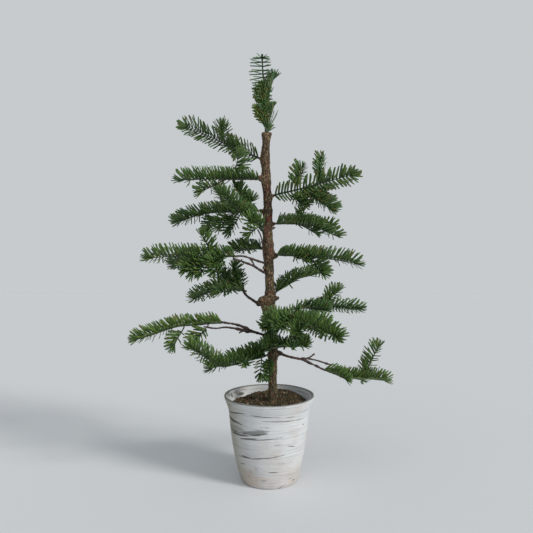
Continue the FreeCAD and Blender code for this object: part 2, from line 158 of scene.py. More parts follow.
def paint(piece, rows):
    """Stores the rows where the materials read them."""
    colours = piece.data.color_attributes.new("variety", "FLOAT_COLOR", "POINT")
    colours.data.foreach_set("color", rows.ravel())


def planted(name, pattern, copies, tints):
    """One mesh of many copies of a pattern's mesh, each with its points and its tint rows."""
    faces, size = faces_of(pattern), len(pattern.data.vertices)
    everything = [
        [corner + number * size for corner in face]
        for number in range(len(copies))
        for face in faces
    ]
    mesh = bpy.data.meshes.new(name)
    mesh.from_pydata(np.concatenate(copies).tolist(), [], everything)
    piece = bpy.data.objects.new(name, mesh)
    bpy.context.scene.collection.objects.link(piece)
    paint(piece, np.concatenate(tints))
    return piece


def join(name, pieces):
    deselect()
    for piece in pieces:
        piece.select_set(True)
    bpy.context.view_layer.objects.active = pieces[0]
    bpy.ops.object.join()
    pieces[0].name = pieces[0].data.name = name
    return pieces[0]


def round_noise(out, scale, height):
    """Noise round an upright form, from a direction outwards and a scaled height."""
    return noise.noise(Vector((out.x * scale, out.y * scale, height)))


def unit(vector):
    vector = np.asarray(vector, float)
    return vector / max(np.linalg.norm(vector), 1e-12)


# --------------------------------------------------------------------- shader building


def put(tree, kind, inputs=None, **settings):
    """A node with its settings, and its inputs linked to sockets or set to values."""
    made = tree.nodes.new(kind)
    for name, value in settings.items():
        setattr(made, name, value)
    for name, value in (inputs or {}).items():
        if isinstance(value, bpy.types.NodeSocket):
            tree.links.new(value, made.inputs[name])
        else:
            made.inputs[name].default_value = value
    return made


def maths(tree, operation, *values, clamp=False):
    made = put(tree, "ShaderNodeMath", operation=operation, use_clamp=clamp)
    for socket, value in zip(made.inputs, values):
        if isinstance(value, bpy.types.NodeSocket):
            tree.links.new(value, socket)
        else:
            socket.default_value = value
    return made.outputs[0]


def ramp(tree, factor, stops):
    """Stops are pairs of position and grey level or colour."""
    made = put(tree, "ShaderNodeValToRGB", {"Fac": factor})
    elements = made.color_ramp.elements
    while len(elements) < len(stops):
        elements.new(0.5)
    for element, (position, colour) in zip(elements, stops):
        element.position = position
        level = colour if isinstance(colour, tuple) else (colour, colour, colour)
        element.color = (*level, 1)
    return made.outputs["Color"]


def blend(tree, factor, first, second, kind="MIX"):
    """Mixes two colours, either of them a socket or a triple."""
    made = put(tree, "ShaderNodeMix", data_type="RGBA", blend_type=kind)
    colour_sockets = [made.inputs[0], made.inputs[6], made.inputs[7]]
    for socket, value in zip(colour_sockets, (factor, first, second)):
        if isinstance(value, bpy.types.NodeSocket):
            tree.links.new(value, socket)
        else:
            socket.default_value = (*value, 1) if isinstance(value, tuple) else value
    return made.outputs[2]


def stretched(tree, vector, scale):
    return put(tree, "ShaderNodeVectorMath", {0: vector, 1: scale}, operation="MULTIPLY").outputs[0]


def speckle_noise(tree, vector, scale, detail=4.0, rough=0.55):
    inputs = {"Vector": vector, "Scale": scale, "Detail": detail, "Roughness": rough}
    return put(tree, "ShaderNodeTexNoise", inputs).outputs["Fac"]


def new_material(name, roughness):
    """A material with a Principled shader: returns it, its tree and its shader."""
    made = bpy.data.materials.new(name)
    made.use_nodes = True
    shader = made.node_tree.nodes["Principled BSDF"]
    shader.inputs["Roughness"].default_value = roughness
    return made, made.node_tree, shader


def object_place(tree):
    return put(tree, "ShaderNodeTexCoord").outputs["Object"]


def dressed(tree, shader, colour, height, distance, strength):
    """Gives the shader its colour and a bump of a depth in metres."""
    tree.links.new(colour, shader.inputs["Base Color"])
    inputs = {"Height": height, "Distance": distance, "Strength": strength}
    tree.links.new(put(tree, "ShaderNodeBump", inputs).outputs["Normal"], shader.inputs["Normal"])


def grain_group():
    """Two sizes of noise, long one way: a mask with contrast, and a height."""
    group = bpy.data.node_groups.new("grain", "ShaderNodeTree")
    sockets = [
        ("Place", "NodeSocketVector", (0, 0, 0)),
        ("Stretch", "NodeSocketVector", (1, 1, 1)),
        ("Scale", "NodeSocketFloat", 100.0),
        ("Contrast", "NodeSocketFloat", 2.0),
    ]
    for name, kind, value in sockets:
        made = group.interface.new_socket(name=name, in_out="INPUT", socket_type=kind)
        made.default_value = value
    for name in ("Mask", "Height"):
        group.interface.new_socket(name=name, in_out="OUTPUT", socket_type="NodeSocketFloat")
    given, result = group.nodes.new("NodeGroupInput"), group.nodes.new("NodeGroupOutput")
    place = stretched(group, given.outputs["Place"], given.outputs["Stretch"])
    coarse = speckle_noise(group, place, given.outputs["Scale"])
    fine_scale = maths(group, "MULTIPLY", given.outputs["Scale"], 4.3)
    fine = speckle_noise(group, place, fine_scale, 3.0, 0.6)
    centred = maths(group, "MULTIPLY", maths(group, "SUBTRACT", coarse, 0.5), given.outputs["Contrast"])
    mask = maths(group, "ADD", centred, 0.5, clamp=True)
    height = maths(group, "MULTIPLY_ADD", fine, 0.4, coarse)
    group.links.new(mask, result.inputs["Mask"])
    group.links.new(height, result.inputs["Height"])
    return group


GRAIN = grain_group()


def grain(tree, place, stretch, scale, contrast):
    inputs = {"Place": place, "Stretch": stretch, "Scale": scale, "Contrast": contrast}
    made = put(tree, "ShaderNodeGroup", inputs, node_tree=GRAIN)
    return made.outputs["Mask"], made.outputs["Height"]


# ---------------------------------------------------------------------------- materials


def variety(tree):
    """Each planted copy's own random numbers, and the place along it; on the bark sleeve and collars the
    first is their relief, for painted shade and light.
    """
    colour = put(tree, "ShaderNodeAttribute", attribute_name="variety").outputs["Color"]
    return put(tree, "ShaderNodeSeparateColor", {"Color": colour}).outputs


def needle_material():
    """Moulded needles: each its own green, some sprigs bluer, in part a painted sheen, with painted shade
    at the root and some dry at the tip.
    """
    made, tree, shader = new_material("moulded_needles", 0.48)
    shader.inputs["Specular IOR Level"].default_value = 0.42
    own, along, sprig = variety(tree)
    greens = [
        (0.0, (0.044, 0.094, 0.022)),
        (0.35, (0.074, 0.146, 0.027)),
        (0.7, (0.116, 0.204, 0.036)),
        (1.0, (0.185, 0.268, 0.050)),
    ]
    colour = ramp(tree, own, greens)
    # A bluer green on some sprigs: partly the needles' own blue-green, partly a painted sheen.
    blue_and_sheen_share = maths(tree, "MULTIPLY", sprig, 0.62)
    colour = blend(tree, blue_and_sheen_share, colour, (0.064, 0.142, 0.070))
    # Painted shade: each needle darker towards its root, where the needles crowd round the spine.
    shade = ramp(tree, along, [(0.0, 0.45), (0.25, 0.82), (0.75, 1.0), (1.0, 1.0)])
    colour = blend(tree, 1.0, colour, shade, "MULTIPLY")
    dry_needles = ramp(tree, own, [(0.9, 0.0), (0.97, 1.0)])
    dry_tips = ramp(tree, along, [(0.55, 0.0), (0.95, 0.85)])
    dry = maths(tree, "MULTIPLY", dry_needles, dry_tips)
    colour = blend(tree, dry, colour, (0.17, 0.105, 0.035))
    mask, height = grain(tree, object_place(tree), (1, 1, 1), 420.0, 1.6)
    colour = blend(tree, mask, blend(tree, 1.0, colour, (0.78, 0.8, 0.8), "MULTIPLY"), colour)
    gloss = ramp(tree, mask, [(0.0, 0.42), (1.0, 0.58)])
    tree.links.new(gloss, shader.inputs["Roughness"])
    dressed(tree, shader, colour, height, 0.0003, 0.5)
    return made


def spine_material():
    """Sprig spines: green-brown, greener towards the tip."""
    made, tree, shader = new_material("sprig_spines", 0.6)
    _, along, sprig = variety(tree)
    mask, height = grain(tree, object_place(tree), (1, 1, 1), 600.0, 2.5)
    colour = blend(tree, mask, (0.030, 0.024, 0.012), (0.080, 0.062, 0.030))
    green = maths(tree, "MULTIPLY_ADD", along, 0.5, sprig, clamp=True)
    colour = blend(tree, green, colour, (0.040, 0.092, 0.034))
    dressed(tree, shader, colour, height, 0.0005, 0.6)
    return made


def bark_material():
    """Flaky bark: dark cracks, brown plates, beige, red and mossy specks, with painted shade in its hollows
    and painted light on its swells.
    """
    made, tree, shader = new_material("flaky_bark", 0.85)
    place = object_place(tree)
    mask, height = grain(tree, place, (1, 1, 0.45), 300.0, 3.2)
    relief = variety(tree)[0]
    colour = blend(tree, mask, (0.026, 0.015, 0.008), (0.106, 0.058, 0.029))
    warm = ramp(tree, speckle_noise(tree, place, 60.0, 2.0), [(0.40, 0.0), (0.62, 0.5)])
    colour = blend(tree, warm, colour, (0.088, 0.036, 0.018))
    beige, _ = grain(tree, place, (1, 1, 0.6), 560.0, 9.0)
    beige = ramp(tree, beige, [(0.66, 0.0), (0.86, 0.9)])
    colour = blend(tree, beige, colour, (0.30, 0.215, 0.11))
    split = put(tree, "ShaderNodeSeparateXYZ", {"Vector": place}).outputs
    # Redder halfway up, mossier towards the soil.
    red_share = ramp(tree, split[2], [(0.30, 0.35), (0.37, 1.0), (0.42, 0.8), (0.47, 0.2)])
    red = speckle_noise(tree, stretched(tree, place, (1, 1, 0.5)), 190.0, 2.0)
    red = maths(tree, "MULTIPLY", ramp(tree, red, [(0.53, 0.0), (0.62, 0.85)]), red_share)
    colour = blend(tree, red, colour, (0.165, 0.026, 0.016))
    moss_share = ramp(tree, split[2], [(0.12, 1.0), (0.30, 0.75), (0.48, 0.25)])
    moss = ramp(tree, speckle_noise(tree, place, 130.0, 3.0), [(0.50, 0.0), (0.60, 0.75)])
    moss = maths(tree, "MULTIPLY", moss, moss_share)
    colour = blend(tree, moss, colour, (0.086, 0.084, 0.032))
    # Painted shade and light: the sleeve and collars darker in their hollows and lighter on their swells,
    # by the relief stored in the mesh; the flakes get a random tone from the same number.
    depth = ramp(tree, relief, [(0.25, 0.20), (0.5, 0.8), (0.8, 1.15)])
    colour = blend(tree, 1.0, colour, depth, "MULTIPLY")
    dressed(tree, shader, colour, height, 0.0012, 0.8)
    return made


def twig_material():
    """Paper-wrapped wire, brown with redder, paler streaks along it."""
    made, tree, shader = new_material("wrapped_twig", 0.62)
    place = object_place(tree)
    mask, height = grain(tree, place, (0.5, 1, 1), 420.0, 3.2)
    colour = blend(tree, mask, (0.012, 0.008, 0.006), (0.070, 0.034, 0.022))
    pale = ramp(tree, speckle_noise(tree, place, 150.0, 3.0), [(0.58, 0.0), (0.72, 0.45)])
    colour = blend(tree, pale, colour, (0.17, 0.085, 0.06))
    _, _, green = variety(tree)
    wrapped = blend(tree, mask, (0.012, 0.026, 0.014), (0.040, 0.080, 0.036))
    colour = blend(tree, green, colour, wrapped)
    dressed(tree, shader, colour, height, 0.0008, 0.7)
    return made


def crumb_material():
    """Bark crumbs: mostly dark brown, some red-brown, some beige."""
    made, tree, shader = new_material("bark_crumbs", 0.9)
    own = variety(tree)[0]
    stops = [
        (0.0, (0.026, 0.021, 0.008)),
        (0.34, (0.060, 0.050, 0.018)),
        (0.62, (0.115, 0.088, 0.036)),
        (0.76, (0.200, 0.066, 0.036)),
        (0.84, (0.150, 0.135, 0.060)),
        (1.0, (0.42, 0.32, 0.20)),
    ]
    colour = ramp(tree, own, stops)
    mask, height = grain(tree, object_place(tree), (1, 1, 1), 700.0, 2.0)
    colour = blend(tree, mask, blend(tree, 1.0, colour, (0.55, 0.5, 0.5), "MULTIPLY"), colour)
    dressed(tree, shader, colour, height, 0.0006, 0.8)
    return made


STROKE_SHAPE = ["Middle Turn", "Middle Height", "Half Turn", "Half Height", "Slope"]


def stroke_group():
    """A brush stroke round the pot: an oval mask with a frayed edge."""
    group = bpy.data.node_groups.new("brush_stroke", "ShaderNodeTree")
    names = ["Turn", "Height", "Fray", *STROKE_SHAPE]
    for name in names:
        group.interface.new_socket(name=name, in_out="INPUT", socket_type="NodeSocketFloat")
    group.interface.new_socket(name="Mask", in_out="OUTPUT", socket_type="NodeSocketFloat")
    given, result = group.nodes.new("NodeGroupInput"), group.nodes.new("NodeGroupOutput")
    sockets = (given.outputs[name] for name in names)
    turn, height, fray, middle_turn, middle_height, half_turn, half_height, slope = sockets
    across = maths(group, "SUBTRACT", turn, middle_turn)
    level = maths(group, "MULTIPLY_ADD", across, slope, middle_height)
    upwards = maths(group, "DIVIDE", maths(group, "SUBTRACT", height, level), half_height)
    across = maths(group, "DIVIDE", across, half_turn)
    away = maths(group, "MULTIPLY_ADD", across, across, maths(group, "MULTIPLY", upwards, upwards))
    frayed = maths(group, "SUBTRACT", fray, 0.5)
    edge = maths(group, "MULTIPLY_ADD", frayed, 4.2, maths(group, "SUBTRACT", 1.0, away))
    group.links.new(maths(group, "MULTIPLY", edge, 1.6, clamp=True), result.inputs["Mask"])
    return group


STROKE = stroke_group()
# Dark clay through the whitewash: middle of the stroke as a turn from the front in degrees
# and a height in millimetres, half its turn and half its height, its slope in millimetres
# for each degree, and how much it covers.
STROKES = [
    (-54, 104.6, 26, 1.5, 0.14, 0.95), (2, 105.0, 40, 0.75, -0.07, 0.75), (20, 98.2, 36, 0.7, -0.05, 0.70),
    (-64, 92.6, 24, 2.2, -0.07, 1.0), (-17, 82.8, 18, 4.6, 0.10, 0.68), (-13, 80.4, 13, 1.5, 0.12, 0.90),
    (-56, 78.4, 22, 1.5, 0.04, 0.95), (-52, 75.0, 24, 1.5, 0.08, 0.95), (-29, 72.8, 17, 1.2, 0.16, 0.90),
    (-56, 80.0, 28, 9.0, 0.05, 0.42), (-4, 74.0, 24, 0.8, 0.11, 0.70), (34, 61.4, 7, 0.8, -0.20, 0.70),
    (-43, 44.8, 14, 1.9, 0.04, 0.90), (-3, 47.6, 32, 0.9, 0.12, 0.75), (5, 26.2, 9, 1.1, -0.03, 0.65),
    (-33, 24.2, 2, 1.0, 0.0, 0.95), (56, 87.7, 2, 1.0, 0.0, 0.95), (24, 2.8, 11, 0.6, 0.31, 0.80),
    (-22, 30.0, 3, 0.8, 0.0, 0.75), (-40, 17.0, 5, 0.8, 0.1, 0.70), (-12, 13.0, 6, 0.8, 0.1, 0.65),
    (-50, 33.0, 7, 0.8, 0.1, 0.60), (120, 88.0, 30, 1.2, 0.05, 0.80), (150, 60.0, 26, 3.6, -0.04, 0.55),
    (100, 34.0, 24, 1.0, 0.06, 0.70), (-130, 70.0, 28, 1.4, -0.05, 0.80), (-150, 30.0, 22, 2.4, 0.08, 0.55),
    (146, 98.0, 30, 0.8, 0.02, 0.60), (80, 70.0, 12, 0.7, 0.05, 0.50), (-100, 52.0, 18, 1.0, 0.05, 0.60),
]
# The same on the inner wall, above the soil.
INNER_STROKES = [
    (-133, 118.0, 13, 6.0, 0.0, 0.50), (-133, 112.6, 9, 2.4, 0.0, 0.90),
    (-112, 114.0, 2.5, 4.0, 0.0, 0.80), (-104, 116.5, 2, 2.0, 0.0, 0.60),
    (150, 113, 16, 0.8, 0.0, 0.50), (120, 116, 20, 0.7, 0.03, 0.50),
]
# A patch of bare beige clay low on the pot, in the same numbers.
BEIGE_PATCH = (-36.0, 13.0, 32.0, 13.0, 0.0, 0.75)
# The side of the pot that painted shade darkens, away from the window lamp, as a turn from the front in
# degrees.
SHADED_SIDE_TURN = -100


def pot_material(rim_height):
    """Whitewash brushed round a thrown pot: streaks, worn patches, a dark rim line and painted shade on its
    left.
    """
    made, tree, shader = new_material("whitewashed_pot", 0.62)
    place = object_place(tree)
    split = put(tree, "ShaderNodeSeparateXYZ", {"Vector": place}).outputs
    flat = put(tree, "ShaderNodeCombineXYZ", {"X": split[0], "Y": split[1]}).outputs[0]
    around = put(tree, "ShaderNodeVectorMath", {0: flat}, operation="NORMALIZE").outputs[0]
    height_cell = put(tree, "ShaderNodeCombineXYZ", {"Z": split[2]}).outputs[0]
    backwards = maths(tree, "MULTIPLY", split[1], -1.0)
    turn = maths(tree, "MULTIPLY", maths(tree, "ARCTAN2", split[0], backwards), math.degrees(1))
    level = maths(tree, "MULTIPLY", split[2], 1 / MM)

    def brushed(turn_scale, height_scale, detail=3.0, rough=0.55):
        """Noise drawn out round the pot."""
        wide = stretched(tree, around, (turn_scale, turn_scale, turn_scale))
        tall = stretched(tree, height_cell, (height_scale, height_scale, height_scale))
        both = put(tree, "ShaderNodeVectorMath", {0: wide, 1: tall}, operation="ADD").outputs[0]
        return speckle_noise(tree, both, 1.0, detail, rough)

    share_up = maths(tree, "DIVIDE", split[2], rim_height)
    patches = brushed(1.6, 30.0)
    low = ramp(tree, share_up, [(0.0, 0.55), (0.30, 0.12), (0.6, 0.0)])
    warm = maths(tree, "ADD", ramp(tree, patches, [(0.46, 0.0), (0.66, 0.5)]), low, clamp=True)
    colour = blend(tree, warm, (0.655, 0.668, 0.672), (0.57, 0.515, 0.475))
    lines = brushed(1.1, 520.0, 5.0, 0.7)
    line_shade = ramp(tree, lines, [(0.34, 0.74), (0.5, 0.96), (0.7, 1.05)])
    colour = blend(tree, 1.0, colour, line_shade, "MULTIPLY")
    fray = brushed(2.6, 260.0, 4.0, 0.6)

    def stroke(*shape, cover):
        inputs = {"Turn": turn, "Height": level, "Fray": fray, **dict(zip(STROKE_SHAPE, shape))}
        brushed_on = put(tree, "ShaderNodeGroup", inputs, node_tree=STROKE)
        return maths(tree, "MULTIPLY", brushed_on.outputs["Mask"], cover)

    def strokes(rows, mask):
        """The mask with a stroke added for each row."""
        for *shape, cover in rows:
            mask = maths(tree, "MAXIMUM", mask, stroke(*shape, cover=cover))
        return mask

    *shape, cover = BEIGE_PATCH
    colour = blend(tree, stroke(*shape, cover=cover), colour, (0.545, 0.455, 0.39))
    # Painted shade: the outside of the pot darker towards its left, away from the window lamp.
    aside = maths(tree, "MULTIPLY_ADD", turn, math.radians(1), math.radians(-SHADED_SIDE_TURN))
    facing = maths(tree, "MULTIPLY_ADD", maths(tree, "COSINE", aside), 0.5, 0.5)
    side_shade = ramp(tree, facing, [(0.66, 0.0), (0.91, 0.9), (0.99, 0.7)])
    inside = put(tree, "ShaderNodeAttribute", attribute_name="inside").outputs["Fac"]
    outside = maths(tree, "SUBTRACT", 1.0, inside)
    side_shade = maths(tree, "MULTIPLY", side_shade, outside)
    colour = blend(tree, side_shade, colour, blend(tree, 1.0, colour, (0.56, 0.53, 0.44), "MULTIPLY"))
    worn = ramp(tree, brushed(2.2, 170.0, 4.0, 0.62), [(0.60, 0.0), (0.68, 0.75)])
    worn = maths(tree, "MULTIPLY", worn, ramp(tree, brushed(1.5, 26.0, 2.0), [(0.50, 0.0), (0.66, 1.0)]))
    worn = maths(tree, "MULTIPLY", strokes(STROKES, worn), outside)
    smears = maths(tree, "MULTIPLY", strokes(INNER_STROKES, 0.0), inside)
    worn = maths(tree, "MAXIMUM", worn, smears)
    clay = blend(tree, fray, (0.030, 0.030, 0.024), (0.085, 0.092, 0.068))
    colour = blend(tree, worn, colour, clay)
    rim_line = maths(tree, "GREATER_THAN", maths(tree, "MULTIPLY_ADD", lines, 0.016, share_up), 0.996)
    colour = blend(tree, maths(tree, "MULTIPLY", rim_line, 0.8), colour, (0.075, 0.085, 0.072))
    specks = ramp(tree, speckle_noise(tree, place, 620.0, 2.0), [(0.71, 0.0), (0.77, 0.8)])
    colour = blend(tree, specks, colour, (0.16, 0.13, 0.10))
    height = maths(tree, "MULTIPLY_ADD", worn, -0.8, lines)
    dressed(tree, shader, colour, height, 0.0007, 0.65)
    return made


def cement_material():
    """Cast cement, its grey a little mottled."""
    made, tree, shader = new_material("cast_cement", 0.9)
    mask, height = grain(tree, object_place(tree), (1, 1, 1), 260.0, 2.5)
    colour = blend(tree, mask, (0.30, 0.29, 0.27), (0.46, 0.45, 0.42))
    dressed(tree, shader, colour, height, 0.001, 0.7)
    return made


def steel_material():
    """Drawn steel rod, its marks along its length."""
    made, tree, shader = new_material("drawn_steel", 0.35)
    shader.inputs["Metallic"].default_value = 1.0
    mask, height = grain(tree, object_place(tree), (1, 1, 0.03), 900.0, 2.0)
    colour = blend(tree, mask, (0.42, 0.42, 0.43), (0.60, 0.60, 0.61))
    dressed(tree, shader, colour, height, 0.0002, 0.4)
    return made


# ---------------------------------------------------------------- reading the CAD sprigs


def solids_of(node):
    """Corner points of each separate solid of a CAD node."""
    make_active(frame["nodes"][node])
    bpy.ops.object.duplicate()
    copy = bpy.context.object
    copy.parent = None
    clean(copy)
    edit(copy)
    bpy.ops.mesh.separate(type="LOOSE")
    leave_edit()
    parts = list(bpy.context.selected_objects)
    found = [points_of(part) for part in parts]
    for part in parts:
        remove(part)
    return sorted(found, key=lambda points: tuple(points.mean(0)))


def longest_side(flat):
    """The two ends of the longest straight side of an outline's points."""
    apart = np.linalg.norm(flat[:, None] - flat[None], axis=2)
    for pair in np.argsort(-apart, axis=None):
        low, high = (flat[index] for index in divmod(pair, len(flat)))
        ahead = unit(high - low)
        beside = (flat - low) @ np.array([-ahead[1], ahead[0]])
        if beside.min() > -0.02 * MM:
            return low, high


class Sprig:
    """Where a moulded sprig lies: from start to end, its needles rising towards up."""

    def __init__(self, points):
        centre = points.mean(0)

        def unevenness(direction):
            """How far the points are from being their own mirror image."""
            image = points - 2 * np.outer((points - centre) @ direction, direction)
            apart = np.linalg.norm(points[:, None] - image[None], axis=2)
            return apart.min(0).mean()

        across = min(np.linalg.svd(points - centre)[2], key=unevenness)
        first = unit(np.cross(across, (0.3, 0.5, 0.8)))
        second = np.cross(across, first)
        flat = np.stack([(points - centre) @ first, (points - centre) @ second], axis=1)
        low, high = longest_side(flat)
        keel = [centre + spot[0] * first + spot[1] * second for spot in (low, high)]
        forward = unit(keel[1] - keel[0])
        up = unit(np.cross(across, forward))
        if (centre - keel[0]) @ up < 0:
            up = -up
        rise = (points - keel[0]) @ up
        tips = points[rise > 0.7 * rise.max()]
        if (tips.mean(0) - (keel[0] + keel[1]) / 2) @ forward < 0:
            keel.reverse()
            forward = -forward
        self.start, self.end = keel
        self.forward, self.up = forward, up
        self.length = np.linalg.norm(self.end - self.start)
        last = points[(points - self.end) @ forward > -0.1 * MM]
        self.pointed = abs((last - centre) @ across).max() < 0.8 * MM


def chains_of(branch):
    """The branch's sprigs, those that butt end to end joined in one list."""
    sprigs = [Sprig(points) for points in solids_of(branch + "_needles")]
    followers = {}
    for sprig in sprigs:
        if not sprig.pointed:
            others = [other for other in sprigs if other is not sprig]
            followers[sprig] = min(others, key=lambda other: np.linalg.norm(other.start - sprig.end))
    leading = [sprig for sprig in sprigs if sprig not in followers.values()]
    chains = []
    for sprig in leading:
        chain = [sprig]
        while chain[-1] in followers:
            chain.append(followers[chain[-1]])
        chains.append(chain)
    return chains


# ------------------------------------------------------------------------ foliage


STEP = 1 * MM
# A spine lies this far above the keel of its CAD sprig.
SPINE_HEIGHT = 0.6 * MM
# How fast a line wanders along its samples, over how many of them it sets in, and how many
# each way its upward direction is a mean of.
WANDER_PITCH = 0.045
WANDER_START = 14
UP_EASE = 12


class Line:
    """A smooth line through corners, sampled every millimetre, with a frame at each sample."""

    def __init__(self, corners, ups, seed, wander=1.3 * MM, ease=9):
        spots, up_rows = [], []
        for low, high, up in zip(corners, corners[1:], ups):
            count = max(2, round(np.linalg.norm(high - low) / STEP))
            for share in np.linspace(0, 1, count, endpoint=high is corners[-1]):
                spots.append(low + (high - low) * share)
                up_rows.append(up)
        spots, ups = np.array(spots), np.array(up_rows)
        self.spots = self.eased(spots, ease)
        ups = self.eased(ups, UP_EASE)
        count = len(spots)
        drift = np.zeros_like(self.spots)
        for index in range(count):
            at = Vector((index * WANDER_PITCH, seed * 7.3, 1.7))
            shift = np.array(noise.noise_vector(at))
            drift[index] = shift * min(index / WANDER_START, 1.0) * wander
        self.spots = self.spots + drift
        self.ahead = np.gradient(self.spots, axis=0)
        self.ahead /= np.linalg.norm(self.ahead, axis=1)[:, None]
        ups = ups - self.ahead * (ups * self.ahead).sum(1)[:, None]
        self.ups = ups / np.linalg.norm(ups, axis=1)[:, None]
        self.sides = np.cross(self.ups, self.ahead)
        self.length = STEP * (count - 1)

    @staticmethod
    def eased(values, reach):
        """Running mean that keeps both ends where they are."""
        result = values.copy()
        for index in range(len(values)):
            near = min(reach, index, len(values) - 1 - index)
            result[index] = values[index - near : index + near + 1].mean(0)
        return result

    def at(self, distance):
        """Place, direction, up and side at a distance along the line."""
        index = min(max(distance / STEP, 0), len(self.spots) - 1.001)
        low, share = int(index), index - int(index)
        return [
            table[low] * (1 - share) + table[low + 1] * share
            for table in (self.spots, self.ahead, self.ups, self.sides)
        ]


def spine_line(chain, origin, seed, reach):
    """The line of a chain of sprigs, from the place where it leaves its carrier.

    It stops short of the last sprig's tip by the reach of the needles round its end.
    """
    corners = [origin, *(sprig.start + sprig.up * SPINE_HEIGHT for sprig in chain)]
    last = chain[-1]
    corners.append(last.end + last.up * SPINE_HEIGHT - last.forward * reach * MM)
    return Line(corners, [chain[0].up, *(sprig.up for sprig in chain)], seed)


def needle_pattern():
    """One needle along +X, a metre long: flat, keeled and blunt."""
    piece = added(bpy.ops.mesh.primitive_circle_add, "needle", vertices=6, radius=0.5, fill_type="NGON")
    edit(piece)
    bpy.ops.transform.rotate(value=math.radians(90), orient_axis="Y", center_override=(0, 0, 0))
    bpy.ops.transform.resize(value=(1, 0.5, 0.5), center_override=(0, 0, 0))
    for ahead, swell in ((0.10, 2.0), (0.33, 1.06), (0.34, 0.99), (0.16, 0.84), (0.06, 0.5)):
        bpy.ops.mesh.extrude_region_move(TRANSFORM_OT_translate={"value": (ahead, 0, 0)})
        bpy.ops.transform.resize(value=(1, swell, swell))
    leave_edit()
    points = points_of(piece)
    points[:, 1] /= max(np.ptp(points[:, 1]), 1e-9)
    points[:, 2] /= max(np.ptp(points[:, 2]), 1e-9)
    points[:, 0] -= points[:, 0].min()
    set_points(piece, points)
    return piece


# Rows of needles on each side of a spine: how far the row stands above the sprig's sides
# in degrees, and the length of its needles against the longest.
UPPER_ROWS = [(16, 0.95), (44, 1.0), (72, 0.98)]
UNDER_ROWS = [(-16, 0.68), (-48, 0.6)]
NODE_GAP = 4.3 * MM
# The rows below the spine grow only so far back from its tip.
UNDER_STRETCH = 52 * MM
NEEDLE_LENGTH = 20.5 * MM
NEEDLE_WIDTH = 2.3 * MM
NEEDLE_THICKNESS = 0.75 * MM
TIP_STRETCH = 13 * MM
ROOT_STRETCH = 0.4


def needle_copy(pattern_points, root, heading, up, length, width, bend):
    """The pattern's points turned to a heading, its flat side to up, curved towards up."""
    heading = unit(heading)
    flat = unit(np.cross(up, heading))
    up = np.cross(heading, flat)
    along, across, thick = pattern_points.T
    rise = thick * NEEDLE_THICKNESS + bend * length * along**2
    return (
        root
        + np.outer(along * length, heading)
        + np.outer(across * width, flat)
        + np.outer(rise, up)
    )


def clothed(line, pattern_points, chance, bare, style):
    """Needles of one line: their points, and the colours that vary them."""
    copies, colours = [], []
    # The sprig's blue, partly a painted sheen.
    sprig_tone = min(max(style["blue"] + chance.gauss(0, 0.15), 0), 1)
    full_length = NEEDLE_LENGTH * style["length"]

    def plant(distance, lift, side, lean, length):
        spot, ahead, up, across = line.at(distance)
        lift, lean = math.radians(lift), math.radians(lean)
        outwards = math.cos(lift) * side * across + math.sin(lift) * up
        heading = math.cos(lean) * ahead + math.sin(lean) * outwards
        facing = unit(ahead * 0.6 + up * 0.9 - outwards * chance.uniform(-0.3, 0.5))
        root = spot + outwards * 0.5 * MM
        width = NEEDLE_WIDTH * style["width"] * chance.uniform(0.85, 1.1)
        bend = chance.gauss(style["bend"], 0.035)
        points = needle_copy(pattern_points, root, heading, facing, length, width, bend)
        copies.append(points)
        bright = min(max(chance.gauss(style["bright"], 0.24), 0), 1)
        colours.append(tint_rows(len(points), bright, pattern_points[:, 0], sprig_tone))

    node = bare + chance.uniform(0, 0.5) * NODE_GAP
    while node < line.length - 1 * MM:
        gap = NODE_GAP * style["gap"] * chance.uniform(0.88, 1.12)
        low_share = style["low"] + (1 - style["low"]) * min(node / line.length * 1.3, 1)
        node_lean = chance.gauss(0, 2.5)
        for side in (-1, 1):
            for row, (lift, share) in enumerate(UPPER_ROWS[: style["rows"]] + UNDER_ROWS):
                if lift < 0 and (node < line.length - UNDER_STRETCH or chance.random() > style["under"]):
                    continue
                shift = style["stagger"] * gap * (0.5 * (side > 0) + row / 3)
                distance = min(node + shift, line.length - 0.5 * MM)
                nearing = min((line.length - distance) / TIP_STRETCH, 1)
                leaving = min(distance / line.length / ROOT_STRETCH, 1)
                lean = style["root_lean"] + (style["lean"] - style["root_lean"]) * leaving
                lean = style["tip_lean"] + (lean - style["tip_lean"]) * nearing
                lean += node_lean + chance.gauss(0, 2.5)
                grown = min(0.72 + (distance - bare) / (14 * MM), 1)
                length = full_length * share * grown * low_share * (0.84 + 0.16 * nearing)
                length *= chance.uniform(0.9, 1.06) * (style["right"] if side > 0 else style["left"])
                plant(distance, lift + chance.gauss(0, 4), side, lean, length)
        node += gap
    for number in range(style["tips"]):
        turn = 360 * number / style["tips"] + chance.uniform(-14, 14)
        lean = chance.uniform(*style["cone"])
        length = full_length * style["tip"] * chance.uniform(0.88, 1.12)
        plant(line.length - chance.uniform(0, 1.5) * MM, turn, 1, lean, length)
    return copies, colours


SPINE_RINGS = 36


def spine_pattern():
    """One spine along +X, a metre long and a metre across, in rings that spine_copy ripples as needle pegs.
    """
    piece = added(bpy.ops.mesh.primitive_circle_add, "spine", vertices=8, radius=0.5, fill_type="NGON")
    edit(piece)
    bpy.ops.transform.rotate(value=math.radians(90), orient_axis="Y", center_override=(0, 0, 0))
    for _ in range(SPINE_RINGS):
        bpy.ops.mesh.extrude_region_move(TRANSFORM_OT_translate={"value": (1 / SPINE_RINGS, 0, 0)})
    leave_edit()
    return piece


